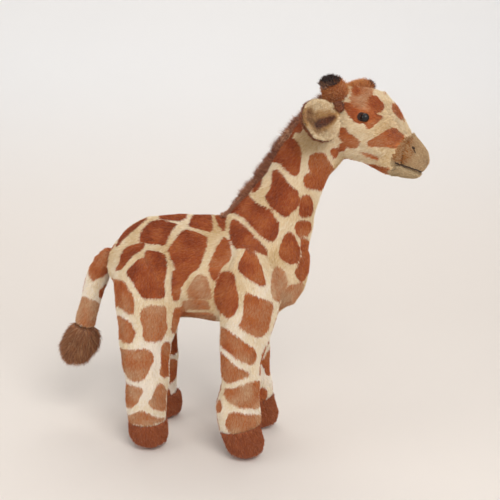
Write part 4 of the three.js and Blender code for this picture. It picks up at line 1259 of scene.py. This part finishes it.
class GIRAFFE_OT_body(bpy.types.Operator):
    """Sews the skin of torso, neck, head and legs, prints its patches and grows its pile"""

    bl_idname = "giraffe.body"
    bl_label = "Body plush"

    def execute(self, context):
        sizes = context.scene.giraffe_sizes
        depth = sizes.pile_depth / MM
        names = sorted(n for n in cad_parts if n.replace("filling", "cover") in BODY_COVERS)
        form = remeshed(names, sizes.skin_detail / MM, fatten=SKIN_FATTENED)
        form.soften(6)
        snout = {name: inside_area(form, area) for name, area in SNOUT_AREAS.items()}
        eye_away = np.min(
            [np.linalg.norm(form.points - middle_of("eye_" + side), axis=1) for side in SIDES], 0
        )
        # The skin sinks by the pile's depth, but not round the eyes or under the muzzle.
        sunk = smoothstep(eye_away, *SKIN_FROM_EYE)
        sunk = sunk * (1 - smoothstep(snout["muzzle"], *SKIN_FROM_MUZZLE))
        lumps = LUMP_HEIGHT * form.noise(LUMP_WIDTH)
        form.push(-sunk * (depth - lumps) - SKIN_FATTENED)
        away = np.array([near_to(form, name) for name in BODY_COVERS]).T
        labels = form.spread(away, share=0.5, times=8).argmin(1)
        form.push(-seam_depth(form, labels))
        paint(form, labels, PATCHES, sizes.cream_lines / MM)
        patch_tones(form, TONE_SPOTS, soft=2.5)
        golden = np.array(GOLDEN_SHARES)[labels]
        on_leg = labels >= LEG_LABELS[0]
        golden = golden + LEG_GOLDEN * on_leg * smoothstep(form.points[:, 2], *LEG_GOLDEN_SPAN)
        # Round the horns the pile stands up and is longer, as they are.
        horns = np.minimum(*(near_to(form, "horn_" + s) for s in SIDES))
        horns = 1 - smoothstep(horns, *HAIR_FROM_HORN)
        nap = self.nap(form, labels) * (1 - horns[:, None]) + HORN_STROKE * horns[:, None]
        lay_fields(form, nap, raised=32, cloud=form.spread(golden, share=0.6, times=10))
        ears = np.minimum(*(near_to(form, "ear_back_" + s) for s in SIDES))
        round_eye = 0.5 + 0.5 * smoothstep(eye_away, *HAIR_FROM_EYE)
        form.fields["long"] = (1 + 0.8 * horns) * round_eye
        # Short pile round the ears leaves them room to fold.
        form.fields["long"] *= 0.45 + 0.55 * smoothstep(ears, *HAIR_FROM_EAR)
        form.fields["grow"] *= eye_away > sizes.eye_radius / MM + BARE_ROUND_EYE
        on_snout = np.zeros(len(form.points), bool)
        for name, inside in snout.items():
            here = (labels == BODY_COVERS.index("head_cover")) & (inside > 0)
            on_snout |= here
            parts["snout " + name] = form.part(here[form.faces].all(1))
        form.fields["grow"] *= ~on_snout
        parts["printed plush"] = patched_plush()
        parts["printed pile"] = Pile("patch", ground="ground")
        parts["muzzle cloth"] = mottled("short-cut polyester plush, muzzle", "muzzle_cloth")
        face_label = np.array([np.bincount(row).argmax() for row in labels[form.faces]])
        for number, name in enumerate(BODY_COVERS):
            piece = form.part(face_label == number)
            short = name.replace("_cover", "")
            cover = piece.shell(thickness=1.2)
            cover.fields = {word: cover.fields[word] for word in ("patch", "tone", "cloud")}
            cloths, slots = [parts["printed plush"]], None
            if short == "head":
                inner = on_snout[form.faces[face_label == number]].all(1)
                cloths.append(parts["muzzle cloth"])
                slots = np.zeros(len(cover.faces), int)
                slots[: 2 * len(inner)] = np.tile(inner, 2)
            stands_for = [name, name.replace("_cover", "_filling")]
            cover = cover.object(short + "_plush", cloths, slots=slots)
            finish(cover, stands_for)
            halves = {"": slice(None)}
            if short == "torso":
                right = piece.points[piece.faces].mean(1)[:, 1] < 0
                halves = {"_right": right, "_left": ~right}
            for word, chosen in halves.items():
                half, seed = piece.part(chosen), 20 + number + len(word)
                parts["printed pile"].grow(short + "_pile" + word, half, seed, "giraffe_plush")
        return {"FINISHED"}

    def nap(self, form, labels):
        """The way the pile is stroked: back along the head, down the neck and the legs."""
        return form.spread(unit(STROKES)[labels], share=0.6, times=25)


def patch_tones(form, patches, soft):
    """Sets tone where a corner lies in a marked spot, with a soft edge."""
    tones = form.fields["tone"]
    for tone, outline in patches.values():
        share = smoothstep(inside_area(form, outline), -soft, soft)
        tones = tones * (1 - share) + tone * share
    form.fields["tone"] = tones


def reshape(form, stretch, move):
    """Stretches a form about its middle and moves it, in mm."""
    middle = (form.points.min(0) + form.points.max(0)) / 2
    form.points = middle + (form.points - middle) * stretch + np.array(move)


def dressed(names, voxel, inset, soft, fatten=0.3):
    """A closed soft form round CAD nodes, sunk by inset for the pile that stands on it."""
    form = remeshed(names, voxel, fatten)
    form.soften(soft)
    form.push(-(inset + fatten))
    return form


class GIRAFFE_OT_muzzle(bpy.types.Operator):
    """Makes the tan muzzle and the greyer chin, in very short pile"""

    bl_idname = "giraffe.muzzle"
    bl_label = "Muzzle and chin"

    def execute(self, context):
        parts["chin cloth"] = mottled("short-cut polyester plush, chin", "chin_cloth")
        for name in ("muzzle", "chin"):
            parts[name] = self.puffed(name)
            rear = parts["snout " + name]
            grounds = [Form(one.points, one.faces) for one in (parts[name], rear)]
            for ground in grounds:
                ground.fields["tone"] = np.full(len(ground.points), 0.68)
                if name == "muzzle":
                    patch_tones(ground, MUZZLE_PATCHES, soft=5.0)
                # The longer hair at its rear lies over the seam with the head.
                if ground is grounds[0]:
                    seam = 1 - smoothstep(near_to(ground, "head_cover"), 1.0, 4.5)
                    ground.fields["long"] = 1 + 0.9 * seam
                lay_fields(ground, (-0.95, 0, 0.2), raised=22)
            pile, slot = Pile(name), name + "_plush"
            piled(name, grounds[0], parts[name + " cloth"], pile, seed=41, slot=slot)
            pile.grow(name + "_pile_rear", grounds[1], seed=41, slot=slot)
        return {"FINISHED"}

    def puffed(self, name):
        """The node's form filled out round, but left as it is where it meets the head."""
        form = remeshed([name], voxel=1.1, fatten=0.3)
        free = smoothstep(near_to(form, "head_cover"), 0.5, 6.0)[:, None]
        full = Form(form.spread(form.points, share=0.5, times=70), form.faces)
        full.push(1.3)
        if name == "muzzle":
            full.points[:, 0] -= 0.13 * np.maximum(full.points[:, 0] - 178.0, 0)
        form.points = form.points * (1 - free) + full.points * free
        form.soften(6)
        return form


# A hoof's sole in mm: pressed flat and bare below these heights, with its pile laid flat
# below the last, and the gap that it keeps over the floor.
SOLE_PRESSED, SOLE_BARE, SOLE_LAID = 3.5, 5, 8
SOLE_PRESS, SOLE_GAP = 1.6, 0.3
SOLE_FACING = -0.55  # a face that looks down more than this belongs to the sole
HOOF_RAISED = 2.5  # how far a hoof's top reaches up into its leg


class GIRAFFE_OT_hooves(bpy.types.Operator):
    """Makes the four rust-brown stuffed hooves"""

    bl_idname = "giraffe.hooves"
    bl_label = "Hooves"

    def execute(self, context):
        cloth = mottled("sheared polyester plush, rust", "hoof_cloth")
        pile = Pile("hoof")
        for number, cover in enumerate(BODY_COVERS[3:]):
            name = cover.replace("leg_cover", "hoof")
            form = dressed([name], voxel=1.7, inset=1.2, soft=10)
            form.points[:, 2] += HOOF_RAISED * smoothstep(form.normals()[:, 2], 0.4, 0.9)
            low = form.points[:, 2]
            # The sole is pressed flat on the floor and bare of pile.
            flat = np.maximum(low - SOLE_PRESS * (1 - low / SOLE_PRESSED), SOLE_GAP)
            form.points[:, 2] = np.where(low < SOLE_PRESSED, flat, low)
            sole = (form.normals()[:, 2] < SOLE_FACING) & (low < SOLE_BARE)
            form.fields["grow"] = 1.0 - sole
            lay_fields(form, (0.25, 0, -1.0), raised=30)
            lay = form.fields["lay"]
            least = np.maximum(lay[:, 2], -0.1 * low / SOLE_LAID)
            lay[:, 2] = np.where(low < SOLE_LAID, least, lay[:, 2])
            piled(name, form, cloth, pile, 51 + number, "hoof_plush")
        return {"FINISHED"}


class GIRAFFE_OT_tail(bpy.types.Operator):
    """Makes the tail and its long-haired tuft"""

    bl_idname = "giraffe.tail"
    bl_label = "Tail and tuft"

    def execute(self, context):
        sizes = context.scene.giraffe_sizes
        form = dressed(["tail_cover", "tail_filling"], voxel=1.8, inset=2.0, soft=5, fatten=0.6)
        labels = np.zeros(len(form.points), int)
        paint(form, labels, TAIL_PATCHES, sizes.cream_lines / MM, seed=5)
        lay_fields(form, (-0.4, 0, -0.9), raised=32, cloud=0.05)
        cover = Form(form.points, form.faces)
        cover.fields = {word: form.fields[word] for word in ("patch", "tone", "cloud")}
        cover = cover.object("tail_plush", [parts["printed plush"]])
        pile = parts["printed pile"]
        pile = pile.grow("tail_pile", form, seed=61, slot="giraffe_plush", body=None)
        for piece in (cover, pile):
            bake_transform(piece)
        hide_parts("tail_cover", "tail_filling")

        core = dressed(["tail_tuft"], voxel=1.8, inset=3.6, soft=8)
        lay_fields(core, (-0.45, 0, -0.9), raised=50, droop=2.0)
        cloth = mottled("long-pile polyester plush, brown", "tuft_cloth", spot_mm=4.0)
        hair = Pile("tuft", segments=3)
        piled("tail_tuft", core, cloth, hair, seed=62, slot="tuft_pile", body="tail")
        return {"FINISHED"}


# The mane's backing, against the CAD's: how much wider it is and how far it is sunk for
# its hair, in mm. Its hair is short at the low end and a little longer at the top.
MANE_WIDENED, MANE_SUNK = 2.4, 6.8
MANE_OUTWARD = (-0.72, 0, 0.55)
MANE_LOW_SPAN, MANE_TOP_SPAN = (255, 285), (330, 360)


class GIRAFFE_OT_mane(bpy.types.Operator):
    """Makes the brush of long pile sewn down the neck's back seam"""

    bl_idname = "giraffe.mane"
    bl_label = "Mane"

    def execute(self, context):
        core = dressed(["mane"], voxel=1.5, inset=1.0, soft=6)
        core.points[:, 1] *= MANE_WIDENED
        outward = unit(np.array(MANE_OUTWARD))
        high = core.normals() @ outward
        core.points -= outward * MANE_SUNK * smoothstep(high, 0, 0.6)[:, None]
        core.fields["tone"] = 0.5 - 0.2 * high + 0.5 * core.noise(18)
        height = core.points[:, 2]
        clumps = 0.8 + 0.2 * high + 0.5 * core.noise(5)
        clumps *= 0.35 + 0.65 * smoothstep(height, *MANE_LOW_SPAN)
        core.fields["long"] = clumps * (1 + 0.1 * smoothstep(height, *MANE_TOP_SPAN))
        lay_fields(core, outward, raised=42, droop=1.0)
        cloth = mottled("long-pile polyester plush, mane", "mane_cloth", spot_mm=4.0)
        piled("mane", core, cloth, Pile("mane", segments=3), seed=71, slot="mane_pile")
        return {"FINISHED"}


class GIRAFFE_OT_horns(bpy.types.Operator):
    """Makes the two short horns with their dark long-pile tips"""

    bl_idname = "giraffe.horns"
    bl_label = "Horns"

    def execute(self, context):
        cloth = mottled("sheared polyester plush, orange-brown", "horn_cloth")
        dark = mottled("long-pile polyester plush, dark", "horn_tip_cloth", spot_mm=3.0)
        stem, brush = Pile("horn"), Pile("horn_tip", segments=3)
        for number, side in enumerate(SIDES):
            stretch, move, tip_stretch, tip_move = HORN_SHAPES[side]
            away = (-0.3, OUTWARD[side] * 0.3, 0.8)
            form = dressed(["horn_" + side], voxel=1.1, inset=1.2, soft=8)
            reshape(form, stretch, move)
            height = form.points[:, 2]
            low = smoothstep(height.min() + HORN_ROOT_SPAN - height, 0, HORN_ROOT_SPAN)
            form.points[:, 2] -= HORN_ROOT * low
            tip = dressed(["horn_tip_" + side], voxel=0.9, inset=1.8, soft=10)
            reshape(tip, tip_stretch, tip_move)
            clear = smoothstep(nearest(tip.tree(), form.points), 0.5, 4.0)
            form.fields["tone"] = 0.15 + 0.6 * clear
            form.fields["long"] = 1.5 - 0.5 * clear
            lay_fields(form, away, raised=55)
            piled("horn_" + side, form, cloth, stem, 81 + number)
            height = tip.points[:, 2]
            high = smoothstep(height, height.min(), (height.min() + height.max()) / 2)
            tip.fields["tone"] = 0.85 - 0.8 * high
            tip.fields["long"] = np.full(len(height), TIP_HAIR[side])
            lay_fields(tip, away, raised=60, droop=0.8)
            piled("horn_tip_" + side, tip, dark, brush, 85 + number, "horn_tip_pile")
        return {"FINISHED"}


class GIRAFFE_OT_ears(bpy.types.Operator):
    """Makes the two cupped ears, each with a brown back and a cream lining"""

    bl_idname = "giraffe.ears"
    bl_label = "Ears"

    def execute(self, context):
        back = mottled("sheared polyester plush, ear back", "ear_back_cloth")
        # The lining's colour follows its tone, which holds painted shade in the fold and the
        # hollow.
        inside = mottled(
            "short-cut polyester plush, ear lining", "ear_lining", spot_mm=7.0, field="tone"
        )
        outer, inner = Pile("ear_back"), Pile("ear_lining")
        for number, side in enumerate(SIDES):
            body, out = "ear_" + side, OUTWARD[side]
            form = dressed(["ear_back_" + side], voxel=0.9, inset=0.2, soft=4, fatten=0.2)
            reshape(form, stretch=1.02, move=(1.0, 0, -1.8))
            lay_fields(form, (-0.6, out * 0.7, -0.3), raised=35)
            piled("ear_back_" + side, form, back, outer, 91 + number, body=body)
            form = dressed(["ear_lining_" + side], voxel=0.9, inset=-0.5, soft=6, fatten=0.2)
            reshape(form, stretch=1.04, move=(1.9, 0, -1.6))
            form.fields["tone"] = np.full(len(form.points), 0.88)
            # Painted shade: the fold and the hollow take darker tones.
            patch_tones(form, EAR_TONES, soft=2.8)
            lay_fields(form, (-0.5, out * 0.6, -0.4), raised=38)
            piled(
                "ear_lining_" + side, form, inside, inner, 95 + number,
                "ear_lining_plush", body, fields=("tone",),
            )
        return {"FINISHED"}


def lathe(profile, at, axis, sides=28):
    """A turned form: (height, radius) pairs spun about an axis through a point."""
    axis = unit(np.array(axis, float))
    across = unit(np.cross(axis, (1.0, 0.0, 0.0)))
    third = np.cross(axis, across)
    turns = np.linspace(0, 2 * math.pi, sides, endpoint=False)[:, None]
    ring = across * np.cos(turns) + third * np.sin(turns)
    points = [at + axis * high + radius * ring for high, radius in profile]
    points += [[at + axis * profile[row][0]] for row in (0, -1)]
    first = sides * len(profile)
    faces = []
    for k in range(sides):
        n = (k + 1) % sides
        for a in range(0, first - sides, sides):
            faces.append((a + k, a + n, a + sides + n, a + sides + k))
        faces.append((n, k, first, first))
        faces.append((first - sides + k, first - sides + n, first + 1, first + 1))
    return Form(np.concatenate(points), faces)


# An eye's shank below its dome, as heights and radii in mm, and how its felt lid lies
# against the CAD's: narrower, and moved.
EYE_SHANK = ((-10.5, 1.9), (-0.2, 2.0))
LID_SHARE, LID_MOVE = 0.68, (-2.9, 0, 0.9)
THREAD_RAISED = 1.8  # how far the mouth's thread lies over the cloth, with its pile


class GIRAFFE_OT_face(bpy.types.Operator):
    """Makes the eyes with their felt lids and washers, the mouth and the nostrils"""

    bl_idname = "giraffe.face"
    bl_label = "Eyes, mouth and nostrils"

    def execute(self, context):
        # Polished black acrylic: a sharp small highlight and nothing of the colour.
        gloss = mottled(
            "injection-moulded acrylic, gloss black", "eye", spot_mm=3.0, rough=0.05, sheen=0.0,
            specular=0.4, bump=None,
        )
        # Pressed felt: dull, with a short fuzz.
        felt = mottled("pressed wool-blend felt, dark brown", "eyelid", rough=0.8)
        # Moulded polypropylene: milky, half matt, with a fine moulded grain.
        white = mottled(
            "moulded polypropylene, natural", "washer", spot_mm=4.0, rough=0.42, sheen=0.0,
            specular=0.5, bump=(0.4, 0.05, 0.2),
        )
        # Mercerised thread: a little shine along each stitch.
        thread = mottled(
            "mercerised embroidery thread, dark brown", "thread", spot_mm=0.5, rough=0.55,
            sheen=0.1, specular=0.25, bump=None,
        )
        radius = context.scene.giraffe_sizes.eye_radius / MM
        for side in SIDES:
            lid_at = middle_of("eyelid_" + side)
            axis = unit(lid_at - middle_of("eye_washer_" + side))
            arc = np.linspace(0.05, 1.52, 10)
            dome = zip(0.98 * radius * np.sin(arc) + 0.9, radius * np.cos(arc))
            rim = [(0.2, radius - 0.3), (0.6, radius + 0.05)]
            eye = lathe([*EYE_SHANK, *rim, *dome], lid_at + (0.3, 0, 0), axis)
            finish(eye.object("safety_eye_" + side, [gloss]), ["eye_" + side])
            lid = remeshed(["eyelid_" + side], voxel=0.45, fatten=0.1)
            lid.soften(3)
            beside = lid.points - lid_at
            out = (beside @ axis)[:, None] * axis
            lid.points = lid_at + out + (beside - out) * LID_SHARE + LID_MOVE
            finish(lid.object("felt_lid_" + side, [felt]), ["eyelid_" + side])
            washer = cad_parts["eye_washer_" + side].data
            washer.materials.clear()
            washer.materials.append(white)
        stitches = stitch_tree(thread)
        snout = joined([parts[n] for n in ("muzzle", "chin", "snout muzzle", "snout chin")])
        snout = snout.tree()
        line = [p for p in (lifted(pixel, snout) for pixel in MOUTH_LINE) if p is not None]
        # The line keeps an even depth, also over the step between head and muzzle.
        depth = np.array([p @ BACKWARD for p in line])
        order = np.arange(len(line))
        even = np.polyval(np.polyfit(order, depth, 2), order)
        rise = [max(e - d, 0) + THREAD_RAISED for e, d in zip(even, depth)]
        line = [p + BACKWARD * high for p, high in zip(line, rise)]
        line += [p * (1, -1, 1) for p in reversed(line)]
        self.sew("mouth_stitches", line, stitches, long=2.6, width=1.5, nodes=["mouth_thread"])
        tree = parts["muzzle"].tree()
        for side in SIDES:
            flip = np.array((1, OUTWARD[side], 1))
            for word, spots, width in NOSTRIL_STITCHES:
                line = [middle_of("nostril_" + side) + np.array(p) * flip for p in spots]
                line = [
                    np.array(tree.find_nearest(Vector(p))[0]) + (0, OUTWARD[side] * 0.9, 0.2)
                    for p in line
                ]
                nodes = ["nostril_" + side] if word == "knot" else []
                name = f"nostril_{word}_{side}"
                self.sew(name, line, stitches, long=2.2, width=width, nodes=nodes)
        return {"FINISHED"}

    def sew(self, name, line, tree, long, width, nodes):
        """Stitches along a line of points, finished as a piece."""
        mesh = bpy.data.meshes.new(name)
        edges = [(i, i + 1) for i in range(len(line) - 1)]
        mesh.from_pydata([tuple(np.array(p) * MM) for p in line], edges, [])
        source = bpy.data.objects.new(name + "_line", mesh)
        bpy.context.scene.collection.objects.link(source)
        values = {"Stitch length mm": long, "Stitch width mm": width, "Seed": 7}
        finish(evaluated(source, name, tree, values), nodes)


def lifted(pixel, tree):
    """Where the photograph's ray through a pixel meets a surface, in mm, or None."""
    half = IMAGE_SIDE / 2
    way = RIGHTWARD * (pixel[0] - half) + UPWARD * (half - pixel[1])
    way = unit(way - BACKWARD * FOCAL_PIXELS)
    met = tree.ray_cast(Vector(AIM + BACKWARD * CAMERA_DISTANCE), Vector(way))[0]
    return None if met is None else np.array(met)


def stitch_tree(thread):
    """Geometry Nodes that lay one stitch after another along a line.

    Each stitch is a slim rounded bar, turned a little from the line.
    """
    tree, given = node_tree("Stitches", ("Stitch length mm", "Stitch width mm"))
    step, wide, tall = (
        add(tree, "ShaderNodeMath", (given[label], share * MM), operation="MULTIPLY")
        for label, share in (
            ("Stitch length mm", 0.42),
            ("Stitch width mm", 0.5),
            ("Stitch length mm", 0.5),
        )
    )
    curve = add(tree, "GeometryNodeMeshToCurve", {"Mesh": given["Geometry"]})
    spots = add(
        tree, "GeometryNodeCurveToPoints", {"Curve": curve, "Length": step}, None, mode="LENGTH"
    ).outputs
    stray = add(
        tree, "FunctionNodeRandomValue", {0: (-0.25,) * 3, 1: (0.25,) * 3, 8: given["Seed"]},
        data_type="FLOAT_VECTOR",
    )
    way = add(tree, "ShaderNodeVectorMath", (spots["Tangent"], stray))
    aimed = add(tree, "FunctionNodeAlignRotationToVector", {"Vector": way}, axis="Z")
    bar = add(tree, "GeometryNodeMeshUVSphere", {"Segments": 8, "Rings": 6, "Radius": 1.0})
    last = add(
        tree, "GeometryNodeInstanceOnPoints",
        {
            "Points": spots["Points"],
            "Instance": bar,
            "Rotation": aimed,
            "Scale": add(tree, "ShaderNodeCombineXYZ", (wide, wide, tall)),
        },
    )
    last = add(tree, "GeometryNodeRealizeInstances", (last,))
    last = add(tree, "GeometryNodeSetMaterial", {"Geometry": last, "Material": thread})
    add(tree, "NodeGroupOutput", (last,), None)
    return tree


def watched(tree):
    """1 for the camera's rays, also by way of metal or glass, and 0 for others."""
    rays = add(tree, "ShaderNodeLightPath", out=None).outputs
    seen = rays["Is Camera Ray"]
    for word in ("Is Glossy Ray", "Is Transmission Ray"):
        seen = add(tree, "ShaderNodeMath", (seen, rays[word]), operation="MAXIMUM")
    return seen


class GIRAFFE_OT_stage(bpy.types.Operator):
    """Sets the camera, the pale floor and backdrop and the soft studio lights"""

    bl_idname = "giraffe.stage"
    bl_label = "Studio"

    def execute(self, context):
        scene = context.scene
        camera = self.placed(bpy.data.cameras.new("camera"), AIM + BACKWARD * CAMERA_DISTANCE)
        camera.data.sensor_width = 36.0
        camera.data.lens = 36.0 * FOCAL_PIXELS / IMAGE_SIDE
        camera.data.clip_start, camera.data.clip_end = 0.05, 20.0
        scene.camera = camera
        for name, place, power, size in LAMPS:
            lamp = bpy.data.lights.new(name, "AREA")
            lamp.energy, lamp.size, lamp.color = power, size, (1.0, 0.98, 0.95)
            self.placed(lamp, place)
        self.floor()
        world = scene.world or bpy.data.worlds.new("world")
        scene.world = world
        world.use_nodes = True
        sky = world.node_tree
        light = sky.nodes["Background"]
        light.inputs["Color"].default_value = linear("#F4F6FA")
        light.inputs["Strength"].default_value = 0.55
        pale = add(sky, "ShaderNodeBackground", {"Color": dyes("pale")[0]})
        both = add(sky, "ShaderNodeMixShader", (watched(sky), light.outputs[0], pale))
        sky.links.new(both, sky.nodes["World Output"].inputs["Surface"])
        scene.view_settings.view_transform = "Standard"
        return {"FINISHED"}

    def placed(self, data, place):
        """A camera or a lamp at a place in mm, turned towards the toy."""
        made = bpy.data.objects.new(data.name, data)
        bpy.context.scene.collection.objects.link(made)
        made.location = Vector(place) * MM
        made.rotation_mode = "QUATERNION"
        made.rotation_quaternion = (Vector(AIM) - Vector(place)).to_track_quat("-Z", "Y")
        return made

    def floor(self):
        """The floor, which curves up into the backdrop behind the toy."""
        # Matt paint spreads the light evenly and shows no highlight.
        board, tree, shader, place = material("matt painted board", rough=0.9, specular=0.2)
        height = add(tree, "ShaderNodeSeparateXYZ", (place,), "Z")
        away = add(tree, "ShaderNodeVectorMath", (place,), "Value", operation="LENGTH")
        rise, far = (
            add(
                tree, "ShaderNodeMapRange", {"Value": value, "From Min": low, "From Max": high},
                interpolation_type="SMOOTHSTEP",
            )
            for value, low, high in ((height, 0.0, 0.4), (away, 1.4, 2.3))
        )
        wall = dyed(tree, place, dyes("wall"), spot_mm=160)
        ends = {0: rise, 6: dyes("floor")[0], 7: wall}
        colour = add(tree, "ShaderNodeMix", ends, 2, data_type="RGBA")
        tree.links.new(colour, shader.inputs["Base Color"])
        # Far off, the board turns into the world's pale background.
        pale = add(tree, "ShaderNodeEmission", {"Color": dyes("pale")[0]})
        far = add(tree, "ShaderNodeMath", (far, watched(tree)), operation="MULTIPLY")
        seen = add(tree, "ShaderNodeMixShader", (far, shader.outputs[0], pale))
        # From behind, the board lets the view through.
        behind = add(tree, "ShaderNodeNewGeometry", out="Backfacing")
        clear = add(tree, "ShaderNodeBsdfTransparent")
        seen = add(tree, "ShaderNodeMixShader", (behind, seen, clear))
        tree.links.new(seen, tree.nodes["Material Output"].inputs["Surface"])
        turned = unit(-BACKWARD * (1, 1, 0))
        side = np.array((turned[1], -turned[0], 0.0)) * FLOOR_REACH
        rows = [(-FLOOR_REACH, 0.0)]
        for a in np.linspace(0, math.pi / 2, 17):
            along, high = RISE_RADIUS * math.sin(a), RISE_RADIUS * math.cos(a)
            rows.append((RISE_START + along, RISE_RADIUS - high))
        rows.append((RISE_START + RISE_RADIUS, WALL_TOP))
        points = [
            turned * away + end * side + (0, 0, high) for away, high in rows for end in (-1, 1)
        ]
        faces = [(2 * i, 2 * i + 1, 2 * i + 3, 2 * i + 2) for i in range(len(rows) - 1)]
        Form(points, faces).object("floor", [board])


class GIRAFFE_PT_panel(bpy.types.Panel):
    """Lists the giraffe's pieces, sizes and colours in the sidebar"""

    bl_idname = "GIRAFFE_PT_panel"
    bl_label = "Plush Giraffe"
    bl_space_type = "VIEW_3D"
    bl_region_type = "UI"
    bl_category = "Plush Giraffe"

    def draw(self, context):
        for operator in OPERATORS:
            self.layout.operator(operator.bl_idname)
        for name, group in GROUPS.items():
            for key in group.__annotations__:
                self.layout.prop(getattr(context.scene, name), key)


OPERATORS = (
    GIRAFFE_OT_stage, GIRAFFE_OT_body, GIRAFFE_OT_muzzle, GIRAFFE_OT_hooves, GIRAFFE_OT_tail,
    GIRAFFE_OT_mane, GIRAFFE_OT_horns, GIRAFFE_OT_ears, GIRAFFE_OT_face,
)
GROUPS = {
    "giraffe_sizes": GIRAFFE_PG_sizes,
    "giraffe_piles": GIRAFFE_PG_piles,
    "giraffe_colours": GIRAFFE_PG_colours,
}
CLASSES = (*GROUPS.values(), *OPERATORS, GIRAFFE_PT_panel)


def register():
    for one in CLASSES:
        bpy.utils.register_class(one)
    for name, group in GROUPS.items():
        setattr(bpy.types.Scene, name, bpy.props.PointerProperty(type=group))


def unregister():
    for name in GROUPS:
        delattr(bpy.types.Scene, name)
    for one in reversed(CLASSES):
        bpy.utils.unregister_class(one)


def main():
    register()
    for operator in OPERATORS:
        group, name = operator.bl_idname.split(".")
        getattr(getattr(bpy.ops, group), name)()


if __name__ == "__main__":
    main()
